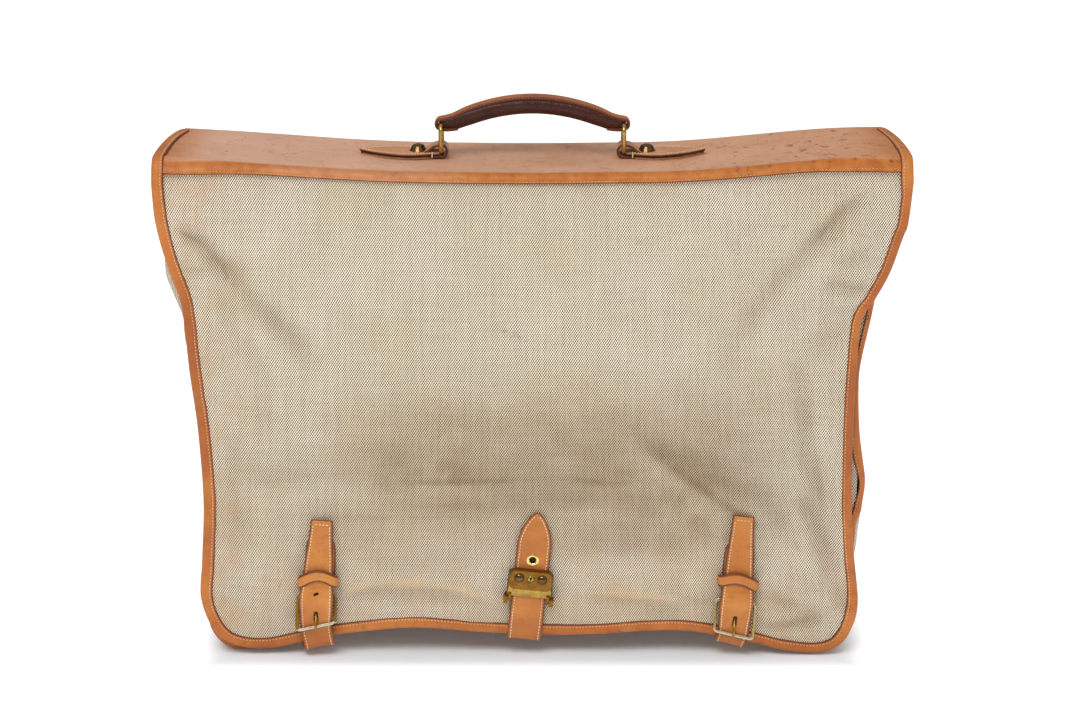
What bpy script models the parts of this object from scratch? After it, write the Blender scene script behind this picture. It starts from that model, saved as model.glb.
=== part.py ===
# Soft-sided canvas and leather flap suitcase, built as separate pieces.
# Dimensions below are millimetres; meshes are written in metres. +Z is up, the front flap faces -Y.
import bpy
import bmesh
import math
from mathutils import Vector, Matrix

# ---------------------------------------------------------------- driving dimensions (mm)
MM = 0.001
GAP = 0.3                 # clearance between neighbouring pieces
Y0 = 8.0                  # moves the model so that its depth is centred on the origin

TOP_Z = 406.0             # leather top, outer face, at the middle
TOP_SAG = 11.0            # rise of the top from the middle to its ends
TOP_HALF = 293.0          # half width of the top at the front
TOP_TAPER = 8.0           # the top narrows by this much at its back corners
TOP_T = 2.5               # top leather
FOLD_R = 6.0              # radius of the front and back folds
HINGE_Z = 407.0           # height of both folds' axes
FLAP_HINGE_Y = -53.0
TOP_HINGE_Y = 49.0

FLAP_Y = -57.0            # outer face of the flap canvas
CANVAS_T = 2.0
BIND_W = 9.0              # visible width of the flap binding
BIND_T = 1.4

BODY_TOP = 394.0          # mouth of the bag
FRONT_Y = -46.5           # outer face of the front panel
BACK_Y = 52.0             # outer face of the back panel
PIPE_R = 2.6              # rolled edge binding
FOOT_IN, FOOT_OUT = 205.0, 240.0   # the base stands on these two zones
ARCH, ARCH_IN = 21.0, 115.0        # the base is arched between them, level inside ARCH_IN

STRAP_W = 25.0
STRAP_T = 2.2
LOCK_STRAP_W = 28.0

HANDLE_X = 72.5           # ring positions
HANDLE_Y = -1.0
RING_R = 1.9
RING_LOW = 5.9            # ring's lower bar above the top leather
RING_H = 21.2             # distance between a ring's two bars
RING_HALF = 12.5
HANDLE_MID = 448.3        # centre of the grip at its middle
HANDLE_DROP = 0.0037      # arch of the grip

# hand-set outline of the flap: (x, z) from the upper left corner round to the upper right
FLAP_OUTLINE = [(-292, 404), (-295.5, 393), (-295, 373), (-291, 350), (-284, 324), (-276, 297), (-272, 246),
                (-267, 195), (-265, 135), (-268, 83), (-270, 48), (-259, 20), (-240, 8), (-215, 5.7), (-186, 11),
                (-157, 17.4), (-130, 22.5), (-107, 25), (-80, 24.6), (-51, 21.6), (-22, 19.6), (17, 18.2), (55, 19.6), (95, 22.2),
                (129, 21.8), (160, 15.5), (186, 10), (205, 5.2), (232, 2.6), (250, 8), (260, 22), (265, 46),
                (260, 92), (257, 135), (256, 195), (257, 246), (260, 286), (268, 301), (280, 324),
                (288, 349), (295, 373), (295, 393), (292.5, 404)]
# half width of the bag at heights; the soft left side bulges out further than the right one
BODY_LEFT = [(30, 266.5), (50, 267), (90, 266), (135, 263), (195, 266), (250, 273), (300, 284), (330, 289), (394, 281)]
BODY_RIGHT = [(30, 264), (50, 264.5), (90, 265), (150, 267.5), (195, 262.5), (240, 261.5), (290, 270), (345, 278), (394, 281)]

# strap assemblies: pivot bar (x, z), lean of the strap in degrees, height of the strap's lower bend
STRAPS = {"left": (-176.2, 52.5, 1.9, 5.6), "right": (166.0, 48.5, 4.6, 6.8)}
LOCK = (-2.0, 65.5, 6.0, 14.0)

# ---------------------------------------------------------------- scene, collections, materials
for old in list(bpy.data.objects):
    bpy.data.objects.remove(old, do_unlink=True)

scene = bpy.context.scene
parts = bpy.data.collections.new("suitcase")
tools = bpy.data.collections.new("suitcase_cutters")
scene.collection.children.link(parts)
scene.collection.children.link(tools)


def material(name, rgb, rough, metal=0.0):
    m = bpy.data.materials.new(name)
    m.use_nodes = True
    b = m.node_tree.nodes["Principled BSDF"]
    b.inputs["Base Color"].default_value = (rgb[0], rgb[1], rgb[2], 1.0)
    b.inputs["Roughness"].default_value = rough
    b.inputs["Metallic"].default_value = metal
    m.diffuse_color = (rgb[0], rgb[1], rgb[2], 1.0)
    return m


CANVAS = material("canvas", (0.60, 0.50, 0.34), 0.9)
LINING = material("lining_cloth", (0.45, 0.36, 0.25), 0.9)
LEATHER = material("tan_leather", (0.52, 0.21, 0.06), 0.5)
TOPHIDE = material("top_leather", (0.46, 0.21, 0.11), 0.5)
DARK = material("dark_leather", (0.05, 0.025, 0.018), 0.45)
BRASS = material("brass", (0.42, 0.28, 0.08), 0.3, 1.0)
BOARD = material("board", (0.30, 0.22, 0.14), 0.8)
CORD = material("cord", (0.50, 0.42, 0.30), 0.9)


def empty(name, loc, parent=None, rot_y=0.0):
    e = bpy.data.objects.new(name, None)
    parts.objects.link(e)
    e.parent = parent
    e.location = Vector(loc) * MM
    e.rotation_euler = (0.0, math.radians(rot_y), 0.0)
    return e


frame = empty("suitcase_frame", (0, Y0, 0))


def give(name, data, mat, smooth=True):
    ob = bpy.data.objects.new(name, data)
    parts.objects.link(ob)
    data.materials.clear()
    data.materials.append(mat)
    if smooth and isinstance(data, bpy.types.Mesh):
        data.shade_smooth()
        data.set_sharp_from_angle(angle=math.radians(40))
    return ob


def seat(ob, parent, built_at=(0, 0, 0)):
    """Parent a piece to an empty; built_at is where that empty stands in the piece's own coordinates."""
    ob.parent = parent
    ob.matrix_parent_inverse = Matrix.Translation(-Vector(built_at) * MM)
    return ob


def cutter(ob):
    parts.objects.unlink(ob)
    tools.objects.link(ob)
    ob.hide_render = True
    ob.display_type = 'WIRE'
    return ob


def boolean(ob, other, op='DIFFERENCE'):
    m = ob.modifiers.new(op.lower(), 'BOOLEAN')
    m.operation = op
    m.object = other
    m.solver = 'EXACT'
    return ob


# ---------------------------------------------------------------- shape makers
def smoothed(pts, n):
    """n points at even distances along a Catmull-Rom curve through pts."""
    fine = []
    for i in range(len(pts) - 1):
        p1, p2 = Vector(pts[i]), Vector(pts[i + 1])
        p0 = Vector(pts[i - 1]) if i > 0 else p1 * 2 - p2
        p3 = Vector(pts[i + 2]) if i + 2 < len(pts) else p2 * 2 - p1
        for k in range(12):
            t = k / 12.0
            fine.append(0.5 * ((2 * p1) + (p2 - p0) * t + (2 * p0 - 5 * p1 + 4 * p2 - p3) * t * t
                               + (3 * p1 - p0 - 3 * p2 + p3) * t ** 3))
    fine.append(Vector(pts[-1]))
    run = [0.0]
    for a, b in zip(fine, fine[1:]):
        run.append(run[-1] + (b - a).length)
    out = []
    j = 0
    for k in range(n):
        d = run[-1] * k / (n - 1)
        while j < len(run) - 2 and run[j + 1] < d:
            j += 1
        f = (d - run[j]) / max(run[j + 1] - run[j], 1e-9)
        out.append(fine[j].lerp(fine[j + 1], min(max(f, 0.0), 1.0)))
    return out


def offset(path, d):
    """Move an (x, z) path sideways; positive d is to the left of its direction."""
    out = []
    for i, p in enumerate(path):
        a = path[max(i - 1, 0)]
        b = path[min(i + 1, len(path) - 1)]
        t = (Vector(b) - Vector(a)).normalized()
        out.append(Vector((p[0] - t[1] * d, p[1] + t[0] * d)))
    return out


def sheet(name, nu, nv, fn, thick, mat, side=-1.0, closed=False, smooth=True):
    """An open surface fn(u, v) -> (x, y, z) thickened with Solidify."""
    bm = bmesh.new()
    bmesh.ops.create_grid(bm, x_segments=nu, y_segments=nv, size=0.5)
    for v in bm.verts:
        u, w = v.co.x + 0.5, v.co.y + 0.5
        v.co = Vector(fn(min(max(u, 0.0), 1.0), min(max(w, 0.0), 1.0))) * MM
    if closed:
        bmesh.ops.remove_doubles(bm, verts=bm.verts, dist=0.00002)
    me = bpy.data.meshes.new(name)
    bm.to_mesh(me)
    bm.free()
    ob = give(name, me, mat, smooth)
    s = ob.modifiers.new("thickness", 'SOLIDIFY')
    s.thickness = thick * MM
    s.offset = side
    s.use_even_offset = True
    s.use_rim = True
    return ob


def along(path, t):
    """Point at index fraction t of a list of points."""
    k = t * (len(path) - 1)
    i = min(int(k + 1e-6), len(path) - 1)
    f = k - i
    if f < 1e-4 or i + 1 >= len(path):
        return Vector(path[i])
    return Vector(path[i]).lerp(Vector(path[i + 1]), f)


def solid_mesh(curve_ob, name, mat, smooth=True):
    """Turn a curve piece into a welded mesh piece that can be cut."""
    dg = bpy.context.evaluated_depsgraph_get()
    me = bpy.data.meshes.new_from_object(curve_ob.evaluated_get(dg))
    me.name = name
    bm = bmesh.new()
    bm.from_mesh(me)
    bmesh.ops.remove_doubles(bm, verts=bm.verts, dist=0.000005)
    bmesh.ops.recalc_face_normals(bm, faces=bm.faces)
    bm.to_mesh(me)
    bm.free()
    data = curve_ob.data
    bpy.data.objects.remove(curve_ob, do_unlink=True)
    bpy.data.curves.remove(data)
    return give(name, me, mat, smooth)


def plate(name, outline, y0, y1, mat, smooth=False):
    """A flat outline in (x, z), extruded along Y from y0 to y1."""
    cu = bpy.data.curves.new(name, 'CURVE')
    cu.dimensions = '2D'
    cu.fill_mode = 'BOTH'
    cu.extrude = abs(y1 - y0) / 2 * MM
    sp = cu.splines.new('POLY')
    sp.points.add(len(outline) - 1)
    for p, q in zip(sp.points, outline):
        p.co = (q[0] * MM, q[1] * MM, 0.0, 1.0)
    sp.use_cyclic_u = True
    ob = bpy.data.objects.new(name + "_outline", cu)
    parts.objects.link(ob)
    bpy.context.view_layer.update()
    ob = solid_mesh(ob, name, mat, smooth)
    ob.data.transform(Matrix.Translation((0, (y0 + y1) / 2 * MM, 0)) @ Matrix.Rotation(math.radians(90), 4, 'X'))
    return ob


def tube(name, pts, r, mat, cyclic=False, res=2):
    cu = bpy.data.curves.new(name, 'CURVE')
    cu.dimensions = '3D'
    cu.bevel_depth = r * MM
    cu.bevel_resolution = res
    cu.use_fill_caps = True
    sp = cu.splines.new('POLY')
    sp.points.add(len(pts) - 1)
    for p, q in zip(sp.points, pts):
        p.co = (q[0] * MM, q[1] * MM, q[2] * MM, 1.0)
    sp.use_cyclic_u = cyclic
    sp.use_smooth = True
    ob = bpy.data.objects.new(name, cu)
    parts.objects.link(ob)
    cu.materials.append(mat)
    return ob


def rod(name, r, a, b, mat, seg=16, r2=None):
    """Cylinder or cone from point a to point b."""
    a, b = Vector(a), Vector(b)
    bm = bmesh.new()
    bmesh.ops.create_cone(bm, cap_ends=True, segments=seg, radius1=r * MM, radius2=(r if r2 is None else r2) * MM,
                          depth=(b - a).length * MM)
    me = bpy.data.meshes.new(name)
    bm.to_mesh(me)
    bm.free()
    turn = Vector((0, 0, 1)).rotation_difference((b - a).normalized()).to_matrix().to_4x4()
    me.transform(Matrix.Translation((a + b) / 2 * MM) @ turn)
    return give(name, me, mat)


def block(name, lo, hi, mat):
    bm = bmesh.new()
    bmesh.ops.create_cube(bm, size=1.0)
    for v in bm.verts:
        v.co = Vector([(lo[i] + (v.co[i] + 0.5) * (hi[i] - lo[i])) * MM for i in range(3)])
    me = bpy.data.meshes.new(name)
    bm.to_mesh(me)
    bm.free()
    return give(name, me, mat, smooth=False)


def turned(name, profile, mat, axis_to=(0, 0, 1), at=(0, 0, 0), steps=16):
    """Profile [(radius, height)] from top to bottom along the outer side, turned round its axis."""
    bm = bmesh.new()
    vs = [bm.verts.new((r * MM, 0, h * MM)) for r, h in profile]
    for a, b in zip(vs, vs[1:]):
        bm.edges.new((a, b))
    if profile[0][0] > 0.0:
        bm.edges.new((vs[-1], vs[0]))
    me = bpy.data.meshes.new(name)
    bm.to_mesh(me)
    bm.free()
    turn = Vector((0, 0, 1)).rotation_difference(Vector(axis_to)).to_matrix().to_4x4()
    ob = give(name, me, mat)
    s = ob.modifiers.new("turn", 'SCREW')
    s.axis = 'Z'
    s.steps = steps
    s.render_steps = steps
    s.use_merge_vertices = True
    s.merge_threshold = 0.00001
    s.use_smooth_shade = True
    hold = empty(name + "_axis", at)
    hold.rotation_euler = turn.to_euler()
    ob.parent = hold
    return ob, hold


# ---------------------------------------------------------------- outlines
def z_top(x):
    return TOP_Z + TOP_SAG * (x / 280.0) ** 2


def base_z(x):
    t = min(max((FOOT_IN - abs(x)) / (FOOT_IN - ARCH_IN), 0.0), 1.0)
    return ARCH * t * t * (3 - 2 * t)


def side_x(z, widths):
    for (z0, x0), (z1, x1) in zip(widths, widths[1:]):
        if z <= z1:
            return x0 + (x1 - x0) * (z - z0) / (z1 - z0)
    return widths[-1][1]


def half_path(widths):
    """One half of the bag's outline, from the middle of the base to the mouth."""
    p = [(x, base_z(x)) for x in (0.0, 60.0, 115.0, 130.0, 145.0, 160.0, 175.0, 190.0, 205.0)] + [(FOOT_OUT, 0.0)]
    corner = widths[0][1] - FOOT_OUT
    for k in range(1, 6):
        a = math.radians(90.0 * k / 6)
        p.append((FOOT_OUT + corner * math.sin(a), 30.0 * (1 - math.cos(a))))
    for k in range(9):
        z = 30.0 + (BODY_TOP - 30.0) * k / 8
        p.append((side_x(z, widths), z))
    return p


# left mouth, base, right mouth
BODY = [Vector((-x, z)) for x, z in reversed(half_path(BODY_LEFT)[1:])] + [Vector(q) for q in half_path(BODY_RIGHT)]
FLAP = smoothed(FLAP_OUTLINE, 58)

# ---------------------------------------------------------------- bag: panels, gussets, base
INNER = offset(BODY, 5.8)
seat(plate("front_panel", INNER, FRONT_Y + 2, FRONT_Y, CANVAS), frame)
seat(plate("back_panel", INNER, BACK_Y - 2, BACK_Y, CANVAS), frame)

RIB_F, RIB_B = -42.0, 48.0


def ribbon(path, y0, y1):
    def fn(u, v):
        p = along(path, u)
        return (p[0], y0 + (y1 - y0) * v, p[1])
    return fn


n_side = 8                                     # points of one gusset above the base's corners
n_base = len(BODY) - 2 * n_side
left_run = [Vector((p[0], p[1])) for p in BODY[:9]]
left_run[-1] = Vector((left_run[-1][0], left_run[-1][1] + 0.5))
right_run = [Vector((p[0], p[1])) for p in reversed(BODY[-9:])]
right_run[-1] = Vector((right_run[-1][0], right_run[-1][1] + 0.5))
base_run = BODY[8:-8]
seat(sheet("gusset_left", 8, 2, ribbon(left_run, RIB_F, RIB_B), 1.8, CANVAS, side=1.0), frame)
seat(sheet("gusset_right", 8, 2, ribbon(right_run, RIB_F, RIB_B), 1.8, CANVAS, side=-1.0), frame)
seat(sheet("base_panel", len(base_run) - 1, 2, ribbon(base_run, RIB_F, RIB_B), 2.0, LEATHER, side=1.0), frame)
board_run = [p for p in offset(BODY, 2.4) if abs(p[0]) < 200 and p[1] < 40]
seat(sheet("base_board", len(board_run) - 1, 1, ribbon(board_run, -38, 44), 2.4, BOARD, side=1.0), frame)

for name, y in (("front_edge_binding", -45.0), ("back_edge_binding", 51.0)):
    run = [(p[0], y, p[1]) for p in offset(BODY, PIPE_R + 0.3)]
    seat(tube(name, run, PIPE_R, LEATHER, res=1), frame)

lining = plate("lining", offset(BODY, 6.4), -43.9, 49.4, LINING)
hollow_path = offset(BODY, 7.6)
hollow_path = [Vector((hollow_path[0][0], BODY_TOP + 20))] + hollow_path + [Vector((hollow_path[-1][0], BODY_TOP + 20))]
boolean(lining, cutter(seat(plate("lining_hollow", hollow_path, -42.9, 48.4, LINING), frame)))
seat(lining, frame)

strip = [(x, z_top(x) - FOLD_R - 0.4) for x in range(-268, 269, 67)] + [(268, 372), (-268, 372)]
seat(plate("back_strip", strip, BACK_Y + 0.3, BACK_Y + 2.3, TOPHIDE), frame)

# ---------------------------------------------------------------- lid: top leather, board, bindings
top_hinge = empty("top_hinge", (0, TOP_HINGE_Y, HINGE_Z), frame)
AT_TOP = (0, TOP_HINGE_Y, HINGE_Z)
TOP_F, TOP_B = -47.0, 43.0


def top_half(y):
    return TOP_HALF - TOP_TAPER * min(max((y + 2.0) / 45.0, 0.0), 1.0)


def top_fn(half, y0, y1, dz):
    def fn(u, v):
        y = y0 + (y1 - y0) * v
        x = (2 * u - 1) * half(y)
        return (x, y, z_top(x) + dz)
    return fn


top_leather = sheet("top_leather", 14, 2, top_fn(top_half, TOP_F, TOP_B, 0.0), TOP_T, TOPHIDE)
top_board = sheet("top_board", 14, 1, top_fn(lambda y: 268.0, -42.0, 38.0, -TOP_T - GAP), 2.0, BOARD)
seat(top_leather, top_hinge, AT_TOP)
seat(top_board, top_hinge, AT_TOP)


def edge_binding(sign):
    def fn(u, v):
        y = TOP_F + 0.2 + (TOP_B - TOP_F - 0.4) * u
        k = round(v * 3)
        x = top_half(y) + (-9.5, 1.0, 1.0, -9.5)[k]
        dz = (1.0, 1.0, -TOP_T - 1.0, -TOP_T - 1.0)[k]
        return (sign * x, y, z_top(x) + dz)
    return fn


seat(sheet("top_binding_left", 4, 3, edge_binding(-1), 1.2, LEATHER, side=0.0, smooth=False), top_hinge, AT_TOP)
seat(sheet("top_binding_right", 4, 3, edge_binding(1), 1.2, LEATHER, side=0.0, smooth=False), top_hinge, AT_TOP)


def fold(half, y_flat, y_bend, out):
    """Leather rolling over an edge: flat from y_flat to y_bend, then a quarter turn down; out is -1 front, +1 back."""
    def fn(u, v):
        x = (2 * u - 1) * half
        if v < 0.2:
            return (x, y_flat + (y_bend - y_flat) * v / 0.2, z_top(x))
        a = math.radians(90.0 * (v - 0.2) / 0.8)
        return (x, y_bend + out * FOLD_R * math.sin(a), z_top(x) - FOLD_R * (1 - math.cos(a)))
    return fn


seat(sheet("front_fold", 12, 5, fold(281.0, TOP_F - 0.4, -53.4, -1), 2.0, TOPHIDE, side=-1.0), top_hinge, AT_TOP)
seat(sheet("back_fold", 12, 5, fold(274.0, TOP_B + 0.4, 48.3, 1), 2.0, TOPHIDE, side=1.0), frame)

# ---------------------------------------------------------------- flap: canvas, lining, header, binding
flap_hinge = empty("flap_hinge", (0, FLAP_HINGE_Y - TOP_HINGE_Y, 0), top_hinge)
AT_FLAP = (0, FLAP_HINGE_Y, HINGE_Z)
top_edge = [(x, z_top(x) - 9.0) for x in (250, 190, 125, 60, 0, -60, -125, -190, -250)]
cloth = list(FLAP) + top_edge
seat(plate("flap_canvas", cloth, FLAP_Y + CANVAS_T, FLAP_Y, CANVAS), flap_hinge, AT_FLAP)
seat(plate("flap_lining", cloth, FLAP_Y + 3.4, FLAP_Y + 2.4, LINING), flap_hinge, AT_FLAP)
header_x = [-280.0 + 70.0 * k for k in range(9)]
header = [(x, z_top(x) - FOLD_R - 0.4) for x in header_x] + [(x, z_top(x) - 10.5) for x in reversed(header_x)]
seat(plate("flap_header", header, FLAP_Y - 0.4, FLAP_Y - 2.4, TOPHIDE), flap_hinge, AT_FLAP)

BIND_IN = offset(FLAP, BIND_W)
BIND_OUT = offset(FLAP, -1.1)


def bind_fn(u, v):
    k = round(v * 3)
    p = along(BIND_IN, u) if k in (0, 3) else along(BIND_OUT, u)
    y = FLAP_Y - 1.0 if k < 2 else FLAP_Y + 4.5
    return (p[0], y, p[1])


seat(sheet("flap_binding", 57, 3, bind_fn, BIND_T, LEATHER, side=0.0, smooth=False), flap_hinge, AT_FLAP)


# ---------------------------------------------------------------- straps with buckles
# Local frame of a strap: x across, -y outward from the flap canvas, z up along the strap, origin on the canvas
# behind the buckle's pivot bar.
PIV_N = 3.1               # pivot bar's distance from the canvas
BAR_R = 1.4
BAR_N = 9.9               # far bar's distance from the canvas
FRAME_L = 26.0            # between the buckle's two bars
FRAME_HALF = 15.2
BILLET_N = 7.1            # middle of the strap's thickness


def frame_at(name, x, z, lean):
    return empty(name, (x - AT_FLAP[0], FLAP_Y - AT_FLAP[1], z - AT_FLAP[2]), flap_hinge, rot_y=lean)


def billet_shape(half, z_lo, z_hi, tip, n):
    """Strap blade from z_lo up to z_hi, narrowing over the last tip millimetres to end_half."""
    length, end_half = tip

    def fn(u, v):
        z = z_lo + (z_hi - z_lo) * u
        k = min(max((z - (z_hi - length)) / length, 0.0), 1.0)
        h = half + (end_half - half) * k
        return ((2 * v - 1) * h, -n, z)
    return fn


def foot_shape(half, z_mid, y_out):
    """Sewn root of a strap: down the front panel, then forward under the flap's edge to y_out."""
    run = [(-49.2, z_mid + 46), (-49.2, z_mid + 5), (-50.4, z_mid + 1.6), (-53.4, z_mid), (y_out, z_mid)]

    def fn(u, v):
        p = along(run, u)
        return ((2 * v - 1) * half, p[0], p[1])
    return fn


for side, (px, pz, lean, low) in STRAPS.items():
    sf = frame_at("strap_frame_" + side, px, pz, lean)

    # chape: sewn tab whose lower end is rolled round the buckle's pivot bar, with a slot for the prong
    chape = block("chape_" + side, (-13.0, -2.0, 1.0), (13.0, -0.4, 64.0), LEATHER)
    boolean(chape, cutter(seat(rod("chape_roll_" + side, 2.7, (-12.6, -PIV_N, 0), (12.6, -PIV_N, 0), LEATHER), sf)), 'UNION')
    boolean(chape, cutter(seat(rod("chape_bore_" + side, BAR_R + 0.3, (-14, -PIV_N, 0), (14, -PIV_N, 0), LEATHER), sf)))
    boolean(chape, cutter(seat(block("chape_slot_" + side, (-2.2, -8, -4), (2.2, -0.0, 6.5), LEATHER), sf)))
    seat(chape, sf)

    # keeper: leather loop sewn down on both sides of the chape, the strap's end passes under it
    def keeper_fn(u, v):
        k = round(u * 3)
        x = (-14.6, -14.6, 14.6, 14.6)[k]
        n = (0.4, 9.6, 9.6, 0.4)[k]
        return (x, -n, 10.0 + 13.0 * v)
    seat(sheet("keeper_" + side, 3, 1, keeper_fn, 1.6, LEATHER, side=0.0, smooth=False), sf)

    # buckle frame: one bent wire, its upper side is the pivot bar
    bj = empty("buckle_joint_" + side, (0, -PIV_N, 0), sf)
    rise = (BAR_N - PIV_N) / FRAME_L
    pts = []
    for cx, cz, a0 in ((FRAME_HALF - 3, -FRAME_L + 3, -90), (FRAME_HALF - 1.6, -1.6, 0), (-FRAME_HALF + 1.6, -1.6, 90), (-FRAME_HALF + 3, -FRAME_L + 3, 180)):
        r = 3.0 if cz < -5 else 1.6
        for k in range(4):
            a = math.radians(a0 + 30.0 * k)
            z = cz + r * math.sin(a)
            pts.append((cx + r * math.cos(a), -PIV_N + rise * z, z))
    seat(tube("buckle_" + side, pts, BAR_R, BRASS, cyclic=True, res=2), bj, (0, -PIV_N, 0))

    # prong: eye round the pivot bar, point resting on the far bar
    pj = empty("prong_joint_" + side, (0, 0, 0), bj)
    tip_n = BAR_N + BAR_R + GAP + 1.1
    prong = rod("prong_" + side, 2.7, (-1.7, -PIV_N, 0), (1.7, -PIV_N, 0), BRASS)
    bent = [(0, -PIV_N - 0.9, -1.2), (0, -4.6, -7.0), (0, -4.9, -10.5), (0, -6.0, -13.6), (0, -8.2, -16.6),
            (0, -tip_n + 0.9, -21.5), (0, -tip_n, -FRAME_L + 1.6), (0, -tip_n - 0.1, -FRAME_L - 1.6)]
    pin = tube("prong_wire_" + side, bent, 1.1, BRASS, res=2)
    bpy.context.view_layer.update()
    pin = solid_mesh(pin, "prong_wire_" + side, BRASS)
    boolean(prong, cutter(seat(pin, pj, (0, -PIV_N, 0))), 'UNION')
    boolean(prong, cutter(seat(rod("prong_eye_" + side, BAR_R + 0.3, (-4, -PIV_N, 0), (4, -PIV_N, 0), BRASS), pj, (0, -PIV_N, 0))))
    seat(prong, pj, (0, -PIV_N, 0))

    # billet: strap blade hinged at its lower bend, and its sewn root on the front panel
    low_s = low + 1.6 - pz
    kj = empty("billet_joint_" + side, (0, -BILLET_N, low_s), sf)
    blade = sheet("billet_" + side, 9, 1, billet_shape(STRAP_W / 2, low_s, 66.0, (26.0, 9.3), BILLET_N), STRAP_T, LEATHER, side=0.0, smooth=False)
    slot = []
    for k in range(7):
        a = math.radians(180.0 * k / 6)
        slot.append((2.0 * math.cos(a), -12.2 + 2.0 * math.sin(a)))
    for k in range(7):
        a = math.radians(180.0 + 180.0 * k / 6)
        slot.append((2.0 * math.cos(a), -19.0 + 2.0 * math.sin(a)))
    boolean(blade, cutter(seat(plate("billet_slot_" + side, slot, -BILLET_N - 3, -BILLET_N + 3, LEATHER), kj, (0, -BILLET_N, low_s))))
    seat(blade, kj, (0, -BILLET_N, low_s))
    fx = px + math.sin(math.radians(lean)) * (low - pz)
    ff = empty("strap_foot_frame_" + side, (fx, 0, 0), frame)
    seat(sheet("strap_foot_" + side, 4, 1, foot_shape(STRAP_W / 2, low, FLAP_Y - BILLET_N + 1.6), STRAP_T, LEATHER, side=0.0, smooth=False), ff)

# ---------------------------------------------------------------- middle strap with hinged lock
lx, lz, lean, low = LOCK
lf = frame_at("lock_frame", lx, lz, lean)
PIN_Z, PIN_N = -13.8, 8.0
STRAP_N = 3.4             # middle of the lock strap's thickness
COVER_N0, COVER_N1 = 6.2, 10.2

base = block("lock_base", (-18.9, -1.5, -17.0), (18.9, -0.4, 12.0), BRASS)
for s in (-1, 1):
    ear = block("lock_ear_" + ("l" if s < 0 else "r"), (17.2 if s > 0 else -20.2, -10.4, -19.0), (20.2 if s > 0 else -17.2, -0.4, -12.6), BRASS)
    boolean(base, cutter(seat(ear, lf)), 'UNION')
boolean(base, cutter(seat(rod("lock_pin_hole", 1.35, (-22, -PIN_N, PIN_Z), (22, -PIN_N, PIN_Z), BRASS), lf)))
seat(base, lf)
# one short pivot pin in each ear, clear of the strap that runs between them
for s, side in ((-1, "left"), (1, "right")):
    seat(rod("lock_pin_" + side, 1.0, (s * 14.7, -PIN_N, PIN_Z), (s * 20.8, -PIN_N, PIN_Z), BRASS, seg=12), lf)

# strap blade with a pointed end, two eyelets
low_s = low + 1.6 - lz
cj = empty("billet_joint_centre", (0, -STRAP_N, low_s), lf)
AT_C = (0, -STRAP_N, low_s)
TIP_S = 59.0


def lock_blade(u, v):
    z = low_s + (TIP_S - low_s) * u
    k = min(max((z - (TIP_S - 13.0)) / 13.0, 0.0), 1.0)
    h = LOCK_STRAP_W / 2 * (1 - 0.86 * k ** 1.3)
    return ((2 * v - 1) * h, -STRAP_N, z)


blade = sheet("billet_centre", 14, 1, lock_blade, STRAP_T, LEATHER, side=0.0, smooth=False)
EYES = (("eyelet_lower", 1.0), ("eyelet_upper", 19.6))
for name, s in EYES:
    boolean(blade, cutter(seat(rod(name + "_hole", 4.1, (0, -STRAP_N - 3, s), (0, -STRAP_N + 3, s), LEATHER), cj, AT_C)))
seat(blade, cj, AT_C)
for name, s in EYES:
    prof = [(3.1, 2.1), (5.4, 2.1), (5.4, 1.45), (3.8, 1.45), (3.8, -1.2), (3.1, -1.2)]
    ob, hold = turned(name, prof, BRASS, axis_to=(0, -1, 0), at=(0, 0, 0))
    hold.parent = cj
    hold.location = Vector((0, 0, s - low_s)) * MM

fx = lx + math.sin(math.radians(lean)) * (low - lz)
ff = empty("strap_foot_frame_centre", (fx, 0, 0), frame)
seat(sheet("strap_foot_centre", 4, 1, foot_shape(LOCK_STRAP_W / 2, low, FLAP_Y - STRAP_N + 1.6), STRAP_T, LEATHER, side=0.0, smooth=False), ff)

# hinged cover with sloping lower edge, two hinge knuckles and stud
lj = empty("lock_joint", (0, -PIN_N, PIN_Z), lf)
AT_L = (0, -PIN_N, PIN_Z)
cover = block("lock_cover", (-18.0, -COVER_N1, -12.2), (18.0, -COVER_N0, 11.8), BRASS)
for v in cover.data.vertices:
    if v.co.y < -(COVER_N0 + 1) * MM and v.co.z < 0:
        v.co.z = -4.5 * MM
        v.co.x *= 0.96
    elif v.co.y < -(COVER_N0 + 1) * MM:
        v.co.x *= 0.96
        v.co.z -= 0.8 * MM
for s in (-1, 1):
    x0, x1 = sorted((s * 14.5, s * 16.7))
    tag = "l" if s < 0 else "r"
    boolean(cover, cutter(seat(rod("lock_knuckle_" + tag, 2.1, (x0, -PIN_N, PIN_Z), (x1, -PIN_N, PIN_Z), BRASS), lj, AT_L)), 'UNION')
    boolean(cover, cutter(seat(block("lock_web_" + tag, (x0, -7.8, -13.8), (x1, -COVER_N0, -9.0), BRASS), lj, AT_L)), 'UNION')
boolean(cover, cutter(seat(rod("lock_stud", 1.8, (0, -COVER_N0 - 1.0, 0.6), (0, -2.9, 0.6), BRASS, seg=12), lj, AT_L)), 'UNION')
boolean(cover, cutter(seat(rod("lock_barrel_bore", 1.35, (-22, -PIN_N, PIN_Z), (22, -PIN_N, PIN_Z), BRASS), lj, AT_L)))
KEY_S = 5.2
boolean(cover, cutter(seat(rod("lock_plug_bore", 2.9, (0, -4.0, KEY_S), (0, -13.0, KEY_S), BRASS), lj, AT_L)))
for s in (-1, 1):
    boolean(cover, cutter(seat(rod("cover_hole_" + ("l" if s < 0 else "r"), 1.8, (s * 9.2, -4.0, KEY_S), (s * 9.2, -13.0, KEY_S), BRASS, seg=12), lj, AT_L)))
seat(cover, lj, AT_L)
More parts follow.
